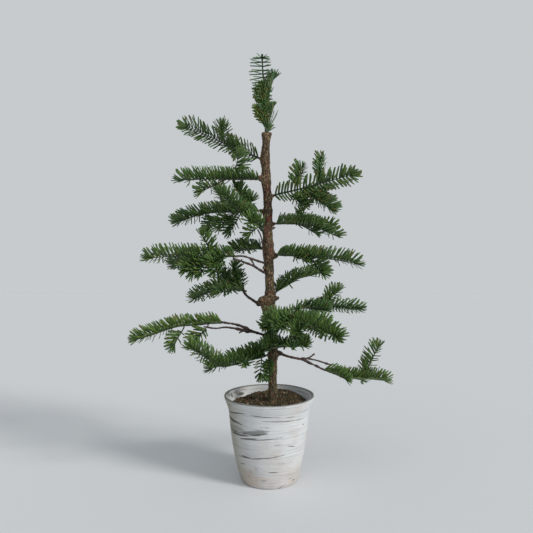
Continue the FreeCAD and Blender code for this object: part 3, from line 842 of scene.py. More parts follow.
def spine_copy(pattern_points, line, root_radius, tip_radius, chance, tone=0.0):
    """The spine pattern bent along a line and tapered."""
    points = np.zeros_like(pattern_points)
    start = pattern_points[:, 0].min()
    length = np.ptp(pattern_points[:, 0])
    for index, (along, across, high) in enumerate(pattern_points):
        share = (along - start) / length
        ring = round(share * SPINE_RINGS)
        spot, _, up, side = line.at(share * line.length)
        radius = root_radius + (tip_radius - root_radius) * share
        radius *= 1 + 0.16 * math.sin(ring * 2.4 + math.atan2(high, across) * 2)
        points[index] = spot + (side * across + up * high) * 2 * radius
    shares = (pattern_points[:, 0] - start) / length
    return points, tint_rows(len(points), chance.random(), shares, tone)


# A wire shorter than this is covered by its sprig's spine and needles.
SHORT_WIRE = 16 * MM
# What sets single branches apart. Angles are in degrees, and lengths shares or millimetres.
# lean, root_lean, tip_lean: the needles' angle to the spine, and that at its root and tip.
# length, low, tip: their length as a share, and that at the root and round the tip.
# left, right: their length on each side. width, bend: their width, and how they curve.
# blue, bright: how blue they are, partly a painted sheen, and how bright they are. rows: rows on each side
# of the spine.
# under: the share that grows below the spine. gap: the gap between nodes, as a share.
# stagger: how far the rows are out of step, which closes the gaps between needles.
# reach: how far the last needles reach past the spine, in millimetres.
# tips, cone: how many needles stand round the tip, and how far they lean from the spine.
# spine: its radius at root and tip. bare: the bare length at its root on a short wire.
# front: whether a shoot's needles rise to the front. side: what differs on side shoots.
# single: what differs on one chain of sprigs, by its number.
PLAIN_STYLE = {
    "lean": 72, "length": 1.0, "low": 0.9, "bend": 0.07, "blue": 0.25, "bright": 0.5, "under": 0.5,
    "stagger": 0.6, "gap": 1.0, "reach": 12, "root_lean": 62, "tip_lean": 46, "tip": 0.66, "tips": 13,
    "cone": (8, 34), "rows": 3, "left": 1.0, "right": 1.0, "width": 1.0, "spine": (1.5, 0.5), "bare": 1.5,
    "front": False, "side": {}, "single": {},
}
STYLES = {
    "leader": {
        "lean": 94, "length": 1.3, "low": 0.5, "blue": 0.7, "under": 0.0, "bend": 0.02, "stagger": 0.12,
        "gap": 1.2, "root_lean": 22, "tip_lean": 96, "tip": 0.45, "tips": 9, "cone": (62, 104), "reach": 4,
        "rows": 2, "left": 0.52, "right": 0.82, "bare": 0.5, "width": 1.25, "spine": (1.6, 1.1),
        "side": {
            "length": 0.66, "lean": 58, "root_lean": 45, "tip_lean": 40, "blue": 0.1, "bright": 0.85,
            "reach": 15, "gap": 0.85, "stagger": 0.5, "cone": (8, 34), "tip": 0.66, "tips": 13, "rows": 3,
            "left": 1.0, "right": 1.0, "width": 1.0, "low": 0.8,
        },
        "single": {3: {"blue": 0.9, "length": 0.7}, 4: {"blue": 0.7, "length": 0.5, "lean": 34}},
    },
    "branch_01": {
        "lean": 62, "blue": 0.4, "under": 0.35, "stagger": 0.3, "bend": 0.07, "bright": 0.7,
        "left": 1.12, "right": 0.85, "rows": 2, "width": 1.6, "tip": 0.8, "cone": (10, 48), "gap": 1.2,
        "side": {"left": 1.0, "right": 1.0, "rows": 3, "gap": 1.0, "width": 1.25},
    },
    "branch_02": {"lean": 76, "blue": 0.1, "under": 0.25, "stagger": 0.3, "reach": 9},
    "branch_03": {
        "lean": 66, "blue": 0.6, "under": 0.9, "stagger": 0.12, "bright": 0.72, "bend": 0.1, "width": 1.15,
        "gap": 1.1, "rows": 2,
        "side": {
            "rows": 3, "gap": 1.0, "tip": 0.5, "tip_lean": 40, "tips": 9, "cone": (4, 26), "length": 1.05,
        },
        "single": {4: {"reach": 5, "lean": 50, "length": 0.85, "tip": 0.5}},
    },
    "branch_04": {"lean": 68, "stagger": 0.5, "under": 0.6, "reach": 3, "side": {"reach": 10}},
    "branch_05": {
        "blue": 0.3, "under": 0.1, "bright": 0.6, "tip": 0.4, "tip_lean": 34, "tips": 9, "cone": (4, 22),
        "reach": 15, "side": {"length": 0.85},
    },
    "branch_07": {"blue": 0.3, "under": 0.2, "low": 0.75},
    "branch_08": {"lean": 74, "stagger": 0.3, "blue": 0.3, "under": 0.3},
    "branch_09": {"lean": 76, "stagger": 0.3, "under": 0.6},
    "branch_10": {"lean": 66, "blue": 0.2, "under": 0.1, "stagger": 0.4},
    "branch_11": {"lean": 76, "stagger": 0.5, "blue": 0.3, "under": 0.7},
    "branch_12": {
        "lean": 70, "blue": 0.45, "under": 0.95, "stagger": 0.1, "bright": 0.55, "bend": 0.1, "rows": 2,
        "gap": 1.15, "width": 1.15, "side": {"rows": 3, "gap": 1.0},
    },
    "branch_13": {
        "lean": 70, "blue": 0.2, "under": 0.8, "stagger": 0.5,
        "side": {"reach": 15, "tip": 0.45, "tip_lean": 60},
        "single": {1: {"reach": 26, "tip": 0.35}, 0: {"reach": 18, "tip": 0.4}},
    },
    "branch_14": {"lean": 70, "blue": 0.15, "under": 0.4, "stagger": 0.3, "bright": 0.6},
    "branch_15": {
        "blue": 0.2, "under": 0.1, "length": 0.95, "stagger": 0.4,
        "side": {"under": 0.0, "tip": 0.45, "tip_lean": 60},
        "single": {1: {"reach": 18, "tip": 0.3, "length": 0.8}},
    },
    "branch_16": {
        "lean": 72, "blue": 0.2, "under": 0.0, "stagger": 0.45, "bright": 0.6, "reach": 10,
        "side": {"under": 0.0}, "single": {1: {"reach": 17, "length": 0.75}, 3: {"gap": 0.9, "under": 0.6}},
    },
    "branch_17": {"single": {3: {"reach": 20, "tip": 0.35, "cone": (30, 70), "length": 0.8}}},
    "branch_18": {
        "lean": 78, "stagger": 0.1, "length": 0.55, "under": 0.9, "gap": 0.85,
        "side": {"length": 0.72},
    },
}
# More shoots on a main spine: distance along it, rise above level and compass angle in
# degrees, length, and what differs from the branch's side shoots. Lengths in millimetres.
SHOOTS = {
    "leader": [
        (6, 72, 186, 26, {"front": True}), (34, 74, 178, 30, {"front": True}), (14, 80, 160, 34),
        (24, 84, 20, 34, {"blue": 0.8}),
        (48, 70, 0, 32, {"blue": 0.9, "lean": 40, "length": 0.95, "bright": 0.5}),
        (52, 80, 186, 16, {"blue": 0.3}), (42, 84, 10, 26, {"blue": 0.8}), (24, 80, 184, 24, {"blue": 0.3}),
        (0, 76, 5, 9, {
            "blue": 1.0, "rows": 1, "tips": 5, "tip": 1.1, "cone": (2, 20), "length": 1.2, "lean": 24,
            "root_lean": 24, "bend": 0.16,
        }),
        (0, 86, 180, 12, {"blue": 0.8, "lean": 26, "root_lean": 30, "length": 0.9, "cone": (4, 24)}),
        (0, 88, 0, 2, {"blue": 0.8, "tips": 14, "tip": 1.0, "cone": (5, 26)}),
    ],
    "branch_04": [(24, 54, -6, 20), (10, 44, 184, 14)],
    "branch_09": [(34, -38, 227, 34), (52, -30, 223, 32), (20, -44, 221, 26)],
    "branch_11": [(10, 52, 122, 26), (26, 50, 128, 28)],
    "branch_05": [(66, 8, 7, 26), (36, -26, -1, 32)],
    "branch_13": [
        (7, 30, 176, 18), (9, 24, -8, 30), (10, -16, 184, 20), (14, -38, 176, 20), (56, -15, 181, 29),
        (50, 12, 179, 25), (34, 26, 178, 26), (40, 12, 4, 26),
    ],
    "branch_15": [(8, 8, 183, 20), (12, -6, 186, 22), (22, 6, 182, 30), (20, 14, 4, 24)],
    "branch_01": [(40, 30, 124, 24)],
    "branch_08": [(22, -14, -24, 24)],
    "branch_17": [
        (5, 22, 205, 22), (3, 50, 215, 14), (12, 8, 196, 26),
        (10, -85, 200, 25, {
            "front": True, "rows": 2, "under": 0.0, "length": 0.66, "tip": 0.95, "tips": 8, "cone": (6, 46),
            "stagger": 0.1, "lean": 80, "bright": 0.65, "reach": 6,
        }),
    ],
    "branch_06": [(8, -30, 200, 16)],
}


def shoot_line(main, shoot, front, seed):
    """A short spine that leaves a main line, its needles rising to the sky or to the front."""
    distance, rise, compass, length = shoot
    spot = main.at(distance * MM)[0]
    rise, compass = math.radians(rise), math.radians(compass)
    level = np.array((math.cos(compass), math.sin(compass), 0))
    heading = math.cos(rise) * level + np.array((0, 0, math.sin(rise)))
    up = math.cos(rise) * np.array((0, 0, 1.0)) + (0.25 - math.sin(rise)) * level
    if front:
        up = np.array((0, -1.0, 0))
    corners = [spot, spot + heading * length * 0.5 * MM, spot + heading * length * MM - up * 1.5 * MM]
    return Line(corners, [up] * 3, seed, 0.8 * MM)


# Radius at root and tip of the spine of a side shoot and of an added shoot, in millimetres.
SIDE_SPINE = (1.0, 0.5)
SHOOT_SPINE = (0.9, 0.5)
# Bare length at the root of a side shoot, past its stalk, and of an added shoot.
SIDE_BARE = 4.5 * MM
SHOOT_BARE = 4 * MM


def main_chain(chains):
    return max(chains, key=lambda chain: sum(sprig.length for sprig in chain))


def joint_of(branch):
    return next(joint for joint in frame["joints"] if joint["child"] == branch)


def dress_branch(branch, number, needle, spine, needle_finish, spine_finish):
    """The needles and spines of one branch."""
    chance = random.Random(number * 101 + 7)
    style = {**PLAIN_STYLE, **STYLES.get(branch, {})}
    chains = chains_of(branch)
    hinge = np.array(joint_of(branch)["pos_m"])
    needle_points, spine_points = points_of(needle), points_of(spine)
    needles, tints, spines, spine_tints = [], [], [], []
    main = main_chain(chains)
    wire = np.linalg.norm(main[0].start - hinge)

    def dress(line, bare, worn, radii):
        """Adds the needles and the spine along one line."""
        copies, colours = clothed(line, needle_points, chance, bare, worn)
        needles.extend(copies)
        tints.extend(colours)
        root, tip = radii
        points, tint = spine_copy(spine_points, line, root * MM, tip * MM, chance, worn["blue"])
        spines.append(points)
        spine_tints.append(tint)

    for index, chain in enumerate(chains):
        first = chain[0]
        if chain is not main:
            carrier = min(main, key=lambda sprig: distance_to(first.start, sprig))
            origin = nearest_on(first.start, carrier) + carrier.up * SPINE_HEIGHT
            bare = np.linalg.norm(origin - first.start) + SIDE_BARE
        elif wire < SHORT_WIRE:
            origin, bare = hinge, style["bare"] * MM
        else:
            origin = first.start + first.up * SPINE_HEIGHT - first.forward * 1.5 * MM
            bare = 2.5 * MM
        worn = style if chain is main else {**style, **style["side"]}
        worn = {**worn, **style["single"].get(index, {})}
        line = spine_line(chain, origin, number * 13 + index, worn["reach"])
        dress(line, bare, worn, worn["spine"] if chain is main else SIDE_SPINE)
        if chain is main:
            main_line = line
    for index, shoot in enumerate(SHOOTS.get(branch, [])):
        differs = shoot[4] if len(shoot) > 4 else {}
        worn = {**style, **style["side"], **differs}
        line = shoot_line(main_line, shoot[:4], worn["front"], number * 13 + 40 + index)
        dress(line, SHOOT_BARE, worn, SHOOT_SPINE)
    foliage = planted(branch + "_foliage", needle, needles, tints)
    smooth(foliage)
    foliage.data.materials.append(needle_finish)
    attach(foliage, branch)
    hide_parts(branch + "_needles")
    wood = planted(branch + "_spines", spine, spines, spine_tints)
    smooth(wood)
    wood.data.materials.append(spine_finish)
    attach(wood, branch)


def nearest_on(spot, sprig):
    """The place on a sprig's keel that is nearest to a spot."""
    along = min(max((spot - sprig.start) @ sprig.forward, 0), sprig.length)
    return sprig.start + sprig.forward * along


def distance_to(spot, sprig):
    return np.linalg.norm(spot - nearest_on(spot, sprig))


# ------------------------------------------------------------------- twigs and the trunk


# Bare twigs that fork: thickness at root and end, then places as distance from the hinge
# along the branch and height above it; None is where the foliage begins. All millimetres.
FORKED = {
    "branch_09": [
        (3.4, 2.2, [(-2, -7.8), (6.6, -2.7), (13.4, 1.9), (24.3, 5.5), (34.6, 9.5), (44.5, 12.6)]),
        (2.8, 2.2, [(-2, 6.5), (9.6, 10.1), (18.4, 12.6), (30.2, 16.5), None]),
        (2.4, 2.2, [(20, 13.0), (16.2, 8.0), (12.8, 1.6)]),
    ],
    "branch_11": [
        (4.6, 2.8, [(-1, -4), (8, -5.5), (21.7, 1.2), (32, 8.0), None]),
        (3.2, 2.2, [(30, 6.8), (35, 12.2), (39.9, 21.0), (44.8, 26.5)]),
        (2.4, 1.8, [(36, 14), (40, 15), (43, 14.6)]),
        (9.5, 3.4, [(-2, -2.0), (3.5, -2.6), (9.5, -3.4), (13, -2.2)]),
        (5.5, 2.0, [(3.0, -1.0), (5.5, 3.6), (7.6, 5.0)]),
    ],
    "branch_14": [
        (3.4, 2.6, [(-1, -1.6), (17.8, 4.9), (30.6, 11.6), (43.4, 16.0), None]),
        (2.8, 1.8, [(17, 4.2), (32.6, 7.0), (45.8, 10.3), (58.5, 12.4), (73.6, 10.6), (88.7, 13.4)]),
        (2.2, 1.6, [(30.5, 6.7), (35, 5.4), (38.5, 3.2)]),
    ],
    "branch_16": [
        (3.2, 2.4, [(-3, 2.2), (13.1, -3.7), (34.2, -8.7), (47, -14.8), None]),
        (2.4, 1.8, [(30.5, -7.2), (42.8, -7.0), (51.6, -0.6)]),
        (2.2, 1.8, [(42.0, -7.2), (58, -11.2), (76, -17.6)]),
    ],
}


def forked_twig(branch, number, spine):
    """Round twigs along given lines, with nubs where shoots broke off."""
    joint = joint_of(branch)
    hinge, axis = np.array(joint["pos_m"]), joint["axis"]
    away = unit((-axis[1], axis[0], 0))
    if away[0] * hinge[0] < 0:
        away = -away
    main = main_chain(chains_of(branch))
    chance = random.Random(number * 11 + 2)
    copies, tints, pattern_points = [], [], points_of(spine)
    for root, end, places in FORKED[branch]:
        corners = []
        for place in places:
            if place is None:
                corners.append(main[0].start + main[0].up * SPINE_HEIGHT + main[0].forward * 3 * MM)
            else:
                corners.append(hinge + away * place[0] * MM + np.array((0, 0, place[1] * MM)))
        line = Line(corners, [np.array((0, 0, 1.0))] * len(corners), number, 0.5 * MM, 4)
        points, tint = spine_copy(pattern_points, line, root / 2 * MM, end / 2 * MM, chance)
        copies.append(points)
        tints.append(tint)
    twig = planted(branch + "_twig", spine, copies, tints)
    clean(twig)
    return twig


TWIG_VOXEL = 0.38 * MM
# A wire that is hardly longer than a short one shows its green paper.
GREEN_WIRE = SHORT_WIRE * 1.6


def dress_stem(branch, number, spine, finish):
    """The bare wire, its corners softened and its wrapping uneven."""
    if branch in FORKED:
        twig = forked_twig(branch, number, spine)
    else:
        twig = plain_twig(branch)
    modifier(twig, "REMESH", mode="VOXEL", voxel_size=TWIG_VOXEL)
    modifier(twig, "SMOOTH", factor=0.6, iterations=4)
    points = points_of(twig)
    normals = np.zeros(len(points) * 3)
    twig.data.vertices.foreach_get("normal", normals)
    normals = normals.reshape(-1, 3)
    for index, spot in enumerate(points):
        at = Vector(spot)
        lump = noise.noise(at * 160 + Vector((number, 0, 0))) * 0.5 + noise.noise(at * 480) * 0.25
        nub = max(noise.noise(at * 95 + Vector((0, 0, number))) - 0.32, 0) * 4.5
        points[index] = spot + normals[index] * (0.3 + lump + nub) * MM
        points[index] += np.array(noise.noise_vector(at * 55 + Vector((0, number, 0)))) * 0.5 * MM
    set_points(twig, points)
    wire = np.linalg.norm(points.max(0) - points.min(0))
    green = 0.9 if branch not in FORKED and wire < GREEN_WIRE else 0.0
    paint(twig, tint_rows(len(points), 1.0, tone=green))
    smooth(twig)
    twig.data.materials.clear()
    twig.data.materials.append(finish)
    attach(twig, branch)
    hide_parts(branch + "_stem")


# A loose wire that hangs along the bark, in millimetres.
LOOSE_WIRE = [
    (-16.5, -3, 359), (-12.6, -4, 352), (-9.9, -4.5, 343), (-8.6, -5, 330), (-7.6, -5.5, 318),
    (-5.6, -6, 309),
]


def dress_wire(spine, finish):
    corners = [np.array(spot) * MM for spot in LOOSE_WIRE]
    line = Line(corners, [np.array((0, -1.0, 0))] * len(corners), 5, 0.4 * MM, 4)
    points, tint = spine_copy(points_of(spine), line, 1.0 * MM, 0.8 * MM, random.Random(5))
    wire = planted("trunk_wire", spine, [points], [tint])
    smooth(wire)
    wire.data.materials.append(finish)
    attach(wire, "stand")


def plain_twig(branch):
    """A copy of the CAD wire, merged and ready to soften."""
    make_active(frame["nodes"][branch + "_stem"])
    bpy.ops.object.duplicate()
    twig = bpy.context.object
    twig.parent = None
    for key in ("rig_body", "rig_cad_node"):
        if key in twig:
            del twig[key]
    twig.name = twig.data.name = branch + "_twig"
    clean(twig)
    return twig


def trunk_rings():
    """Centre, height and radius of the CAD bark's rings, bottom to top."""
    points = np.unique(np.round(points_of(frame["nodes"]["trunk_bark"]), 6), axis=0)
    rings = []
    for height in np.unique(np.round(points[:, 2], 5)):
        level = points[abs(points[:, 2] - height) < 0.00001]
        if len(level) < 12:
            continue
        middle = (level.min(0) + level.max(0)) / 2
        reach = np.linalg.norm((level - middle)[:, :2], axis=1)
        rings.append((height, middle[0], middle[1], reach.max()))
    return np.array(rings)


def trunk_shape(rings):
    heights = rings[:, 0]

    def shape(height):
        return [float(np.interp(height, heights, rings[:, column])) for column in (1, 2, 3)]

    return shape


BARK_AROUND = 96
BARK_PITCH = 1.0 * MM
# Swells and hollows of the bark: height, compass angle in degrees, how far it stands out,
# and half the height and half the angle that it spreads over.
SWELLS = [
    (0.497, 0, 1.9, 6, 80), (0.495, 180, 1.7, 6, 80), (0.484, 180, -0.3, 7, 60), (0.476, 0, -1.3, 12, 60),
    (0.469, 180, 1.2, 6, 50), (0.455, 190, 1.6, 7, 60), (0.436, 185, 2.2, 6, 50), (0.447, 0, -0.8, 8, 50),
    (0.424, 175, 1.4, 6, 50), (0.432, 0, 1.9, 12, 60), (0.410, 180, -1.0, 7, 60), (0.405, 0, -0.5, 4, 50),
    (0.402, 5, 1.7, 3.5, 45), (0.394, 180, -1.2, 9, 60), (0.386, 0, 1.5, 9, 60), (0.376, 180, 0.9, 8, 60),
    (0.366, 0, 0.6, 5, 60), (0.357, 180, 2.4, 9, 60), (0.354, 0, 1.1, 6, 60), (0.343, 190, 2.2, 8, 60),
    (0.338, 10, 1.6, 7, 60), (0.327, 190, 1.6, 9, 60), (0.324, 0, 2.2, 8, 50), (0.306, 185, 1.9, 9, 60),
    (0.303, 0, 0.7, 8, 60), (0.286, 180, 1.0, 9, 60), (0.281, 0, 0.8, 7, 60), (0.262, 0, 2.4, 8, 50),
    (0.263, 190, 2.0, 9, 50), (0.253, 190, 8.6, 7, 46), (0.243, 190, 7.0, 8, 50), (0.236, 0, 0.6, 8, 60),
    (0.222, 180, 2.3, 10, 60), (0.203, 0, 0.8, 9, 60), (0.200, 180, 1.9, 10, 60), (0.184, 10, 1.5, 7, 60),
    (0.172, 190, 0.9, 9, 60), (0.155, 0, 0.9, 8, 60), (0.143, 180, 0.8, 9, 60), (0.125, 0, 1.4, 7, 80),
    (0.122, 180, 1.3, 7, 80), (0.300, 90, 1.8, 9, 60), (0.380, 100, 1.6, 9, 60), (0.215, 80, 2.0, 10, 60),
    (0.450, 85, 1.4, 9, 60), (0.170, 100, 1.4, 8, 60), (0.345, -90, 1.0, 9, 60), (0.275, -80, 1.2, 9, 60),
]


def swell_at(height, turn):
    """How far the bark stands out, in millimetres."""
    swell = 0.0
    for level, compass, out_by, tall, wide in SWELLS:
        away = (height - level) / (tall * MM)
        if abs(away) < 2.6:
            aside = (math.degrees(turn) - compass + 180) % 360 - 180
            swell += out_by * math.exp(-(away**2) - (aside / wide) ** 2)
    return swell * 0.85


def dress_trunk(finish):
    """Bark sleeve: a sheet rolled round the trunk, with plates, cracks and knots."""
    rings = trunk_rings()
    shape = trunk_shape(rings)
    low, high = rings[0, 0], rings[-1, 0]
    rows = round((high - low) / BARK_PITCH)
    sheet = added(
        bpy.ops.mesh.primitive_grid_add, "bark", x_subdivisions=BARK_AROUND, y_subdivisions=rows, size=1
    )
    knots = [joint["pos_m"] for joint in frame["joints"] if joint["child"] != "leader"]
    points = points_of(sheet)
    tints = np.ones((len(points), 4))
    for index, (across, up, _) in enumerate(points):
        turn = (across + 0.5) * 2 * math.pi
        height = low + (up + 0.5) * (high - low)
        middle_x, middle_y, radius = shape(height)
        out = Vector((math.cos(turn), math.sin(turn), 0))
        lumps = round_noise(out, 0.8, height * 34) * 0.9
        ridges = round_noise(out, 3.4, height * 130 + 5) * 0.55
        cells = noise.voronoi(Vector((out.x * 2.6, out.y * 2.6, height * 190)))[0]
        crack = min((cells[1] - cells[0]) * 2.2, 1.0)
        plates = 0.55 * (crack - 0.6)
        rough = round_noise(out, 9, height * 900) * 0.18
        swell = swell_at(height, turn)
        for knot in knots:
            away = abs(height - knot[2] + 0.5 * MM)
            if away < 14 * MM:
                side = Vector((knot[0] - middle_x, knot[1] - middle_y, 0)).normalized()
                facing = max(out.dot(side), 0)
                swell += 1.8 * math.exp(-((away / (4.5 * MM)) ** 2)) * facing**6
        relief = lumps + ridges + plates + rough
        reach = radius + (relief * 0.75 - 0.45 + swell) * MM
        points[index] = (middle_x + out.x * reach, middle_y + out.y * reach, height)
        # The relief, stored for the bark's painted shade in hollows and painted light on swells.
        tints[index, 0] = min(max(0.5 + (ridges + plates + rough) * 0.55 + swell * 0.03, 0), 1)
    set_points(sheet, points)
    paint(sheet, tints)
    clean(sheet)
    edit(sheet, "DESELECT")
    bpy.ops.mesh.select_mode(type="EDGE")
    bpy.ops.mesh.select_non_manifold()
    bpy.ops.mesh.edge_face_add()
    leave_edit()
    smooth(sheet)
    sheet.data.materials.append(finish)
    bark = join("bark_sleeve", [sheet, *bark_extras(shape, low, high, finish)])
    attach(bark, "stand")
    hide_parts("trunk_bark")


def chip_pattern(name, seed):
    """A small angular chip, a metre across, to scatter."""
    chip = added(bpy.ops.mesh.primitive_ico_sphere_add, name, subdivisions=1, radius=0.5)
    chance = random.Random(seed)
    points = points_of(chip)
    for spot in points:
        spot *= chance.uniform(0.7, 1.15)
    set_points(chip, points)
    return chip


def turned_copy(pattern_points, size, rotation, place):
    return (np.array(rotation) @ (pattern_points * size).T).T + place


FLAKES = 620
# Least and most width, length and thickness of a flake, in millimetres.
FLAKE_SIZE = [(1.2, 2.6), (2.0, 5.2), (0.35, 0.6)]


def bark_extras(shape, low, high, finish):
    """Loose flakes on the bark, and a collar round the root of every branch."""
    chance = random.Random(5)
    flake = chip_pattern("flake", 3)
    flake_points = points_of(flake)
    copies, tints = [], []
    for _ in range(FLAKES):
        height = chance.uniform(low + 4 * MM, high - 3 * MM)
        turn = chance.uniform(0, 2 * math.pi)
        middle_x, middle_y, radius = shape(height)
        out = Vector((math.cos(turn), math.sin(turn), 0))
        across = Vector((-out.y, out.x, 0))
        nod = Matrix.Rotation(chance.gauss(0, 0.22), 3, across)
        tilt = nod @ Matrix.Rotation(chance.gauss(0, 0.3), 3, out)
        basis = tilt @ Matrix((across, Vector((0, 0, 1)), out)).transposed()
        size = np.array([chance.uniform(*limits) for limits in FLAKE_SIZE]) * MM
        reach = radius + (swell_at(height, turn) + chance.uniform(-0.75, -0.15)) * MM
        place = np.array([middle_x + out.x * reach, middle_y + out.y * reach, height])
        copies.append(turned_copy(flake_points, size, basis, place))
        tints.append(tint_rows(len(flake_points), chance.uniform(0.42, 0.95)))
    flakes = planted("flakes", flake, copies, tints)
    flakes.data.materials.append(finish)
    remove(flake)
    return [flakes, collars(shape, finish)]


COLLAR_RINGS = [(0.0, 5.2), (0.45, 4.6), (0.7, 3.6), (0.88, 2.7), (1.0, 2.1), (1.04, 1.2)]
# Cut stubs: height, compass angle in degrees, reach from the trunk's axis, thickness.
STUBS = [
    (0.4335, 192, 11.6, 1.05),
    (0.3585, 172, 10.2, 0.55),
    (0.3615, -12, 9.6, 0.5),
    (0.2580, 196, 16.4, 1.8),
    (0.3215, -8, 11.8, 1.05),
    (0.2605, 14, 11.6, 0.95),
    (0.3300, 84, 11.2, 0.8),
    (0.2100, 108, 10.8, 0.8),
    (0.4040, 66, 10.0, 0.6),
]


def collars(shape, finish):
    """Swollen bark at the roots of branches, and the stubs of cut ones."""
    collar = added(bpy.ops.mesh.primitive_circle_add, "collar", vertices=12, radius=1, fill_type="NGON")
    edit(collar)
    for before, after in zip(COLLAR_RINGS, COLLAR_RINGS[1:]):
        shift = (0, 0, after[0] - before[0])
        bpy.ops.mesh.extrude_region_move(TRANSFORM_OT_translate={"value": shift})
        ratio = after[1] / before[1]
        bpy.ops.transform.resize(value=(ratio, ratio, 1))
    leave_edit()
    clean(collar)
    collar_points = points_of(collar)
    collar_points[:, :2] *= COLLAR_RINGS[0][1]
    places = []
    for joint in frame["joints"]:
        if joint["child"] != "leader":
            places.append((Vector(joint["pos_m"]), 0.85))
    for height, compass, reach, thick in STUBS:
        middle_x, middle_y, _ = shape(height)
        turn = math.radians(compass)
        x, y = middle_x + math.cos(turn) * reach * MM, middle_y + math.sin(turn) * reach * MM
        places.append((Vector((x, y, height)), thick))
    copies, tints = [], []
    for end, thick in places:
        low = Vector((*shape(end.z - 2 * MM)[:2], end.z - 2.5 * MM))
        ahead = (end - low).normalized()
        basis = ahead.to_track_quat("Z", "Y").to_matrix()
        root, axis = np.array(low), np.array(ahead)
        points = collar_points.copy()
        points[:, :2] *= thick * MM
        points[:, 2] *= (end - low).length + 0.8 * MM
        points = (np.array(basis) @ points.T).T + root
        lumps = [noise.noise(Vector(spot) * 330) for spot in points]
        for spot, lump in zip(points, lumps):
            spot += (spot - root - axis * ((spot - root) @ axis)) * lump * 0.35
        copies.append(points)
        # The lumps, stored for painted shade and light on the collars.
        tints.append(tint_rows(len(points), 0.5 + np.array(lumps) * 0.5))
    made = planted("collars", collar, copies, tints)
    smooth(made)
    made.data.materials.append(finish)
    remove(collar)
    return made


# --------------------------------------------------------------------- pot and soil


def spun(name, outline, steps):
    """A round form: an outline of radii and heights drawn point by point, then spun."""
    piece = added(bpy.ops.mesh.primitive_plane_add, name, size=1)
    edit(piece)
    bpy.ops.mesh.merge(type="CENTER")
    bpy.ops.transform.translate(value=(outline[0][0], 0, outline[0][1]))
    for before, after in zip(outline, outline[1:]):
        shift = (after[0] - before[0], 0, after[1] - before[1])
        bpy.ops.mesh.extrude_region_move(TRANSFORM_OT_translate={"value": shift})
    bpy.ops.mesh.select_all(action="SELECT")
    bpy.ops.mesh.spin(steps=steps, angle=2 * math.pi, center=(0, 0, 0), axis=(0, 0, 1))
    leave_edit()
    clean(piece)
    return piece


def softened(outline, rounds):
    """An outline with its corners cut off again and again, its ends kept."""
    for _ in range(rounds):
        result = [outline[0]]
        for before, after in zip(outline, outline[1:]):
            result.append(tuple(0.75 * low + 0.25 * high for low, high in zip(before, after)))
            result.append(tuple(0.25 * low + 0.75 * high for low, high in zip(before, after)))
        outline = [*result, outline[-1]]
    return outline


def subdivided(outline, step):
    """An outline with points added, so that none is further than a step from the next."""
    result = [outline[0]]
    for before, after in zip(outline, outline[1:]):
        count = max(1, math.ceil(math.dist(before, after) / step))
        for number in range(1, count + 1):
            share = number / count
            result.append(tuple(low + (high - low) * share for low, high in zip(before, after)))
    return result


# The pot's half section, from under its foot up the outside, over the lip and down the
# inside: radius as a share of the rim's, and height as a share of the pot's.
POT_OUTSIDE = [
    (0.0, 0.006), (0.52, 0.006), (0.555, 0.0), (0.600, 0.0), (0.632, 0.010), (0.655, 0.040),
    (0.690, 0.110), (0.737, 0.212), (0.775, 0.310), (0.808, 0.404), (0.834, 0.500),
    (0.856, 0.595), (0.874, 0.690), (0.890, 0.787), (0.908, 0.847), (0.931, 0.885),
    (0.953, 0.912), (0.975, 0.942), (0.992, 0.968), (1.0, 0.988), (0.992, 1.0),
]
POT_INSIDE = [
    (0.965, 1.0), (0.952, 0.992), (0.938, 0.960), (0.900, 0.900), (0.842, 0.800),
    (0.797, 0.600), (0.715, 0.300), (0.625, 0.075), (0.600, 0.058), (0.0, 0.058),
]
POT_STEPS = 160
POT_RING = 1.7 * MM


def dress_pot(finish):
    """Hand-thrown pot: a little out of round, with throwing rings and brush ridges."""
    _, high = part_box("pot")
    rim, top = high.x, high.z
    outside = softened([(radius * rim, height * top) for radius, height in POT_OUTSIDE], 2)
    inside = softened([(radius * rim, height * top) for radius, height in POT_INSIDE], 1)
    outline = subdivided([*outside, *inside], POT_RING)
    pot = spun("thrown_pot", outline, POT_STEPS)
    points = points_of(pot)
    for index, (x, y, z) in enumerate(points):
        radius = math.hypot(x, y)
        if radius < 0.3 * rim:
            continue
        out = Vector((x / radius, y / radius, 0))
        wobble = round_noise(out, 0.7, z * 14) * 0.7
        rings = math.sin(z * 1450 + round_noise(out, 1, z * 30) * 3) * 0.10
        brushed = round_noise(out, 2.2, z * 620) * 0.22
        fine = round_noise(out, 5, z * 1500) * 0.10
        shift = (wobble + rings + brushed + fine - 0.35) * MM
        points[index] += np.array(out) * shift
        if z > 0.97 * top:
            points[index, 2] += round_noise(out, 1.3, 4) * 0.5 * MM - 0.3 * MM
    set_points(pot, points)
    normals = np.zeros(len(points) * 3)
    pot.data.vertices.foreach_get("normal", normals)
    inwards = (normals.reshape(-1, 3)[:, :2] * points[:, :2]).sum(1) < 0
    mark = pot.data.attributes.new("inside", "FLOAT", "POINT")
    mark.data.foreach_set("value", (inwards & (points[:, 2] < 0.985 * top)).astype(float))
    smooth(pot)
    pot.data.materials.append(finish)
    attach(pot, "stand")
    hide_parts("pot")


# Heaps and hollows of the soil: height in millimetres, then place and half size, across and
# from front to back, as shares of its radius.
SOIL_SWELLS = [(6.5, 0.35, 0.72, 0.55, 0.42), (-3.0, -0.75, 0.2, 0.45, 0.7)]


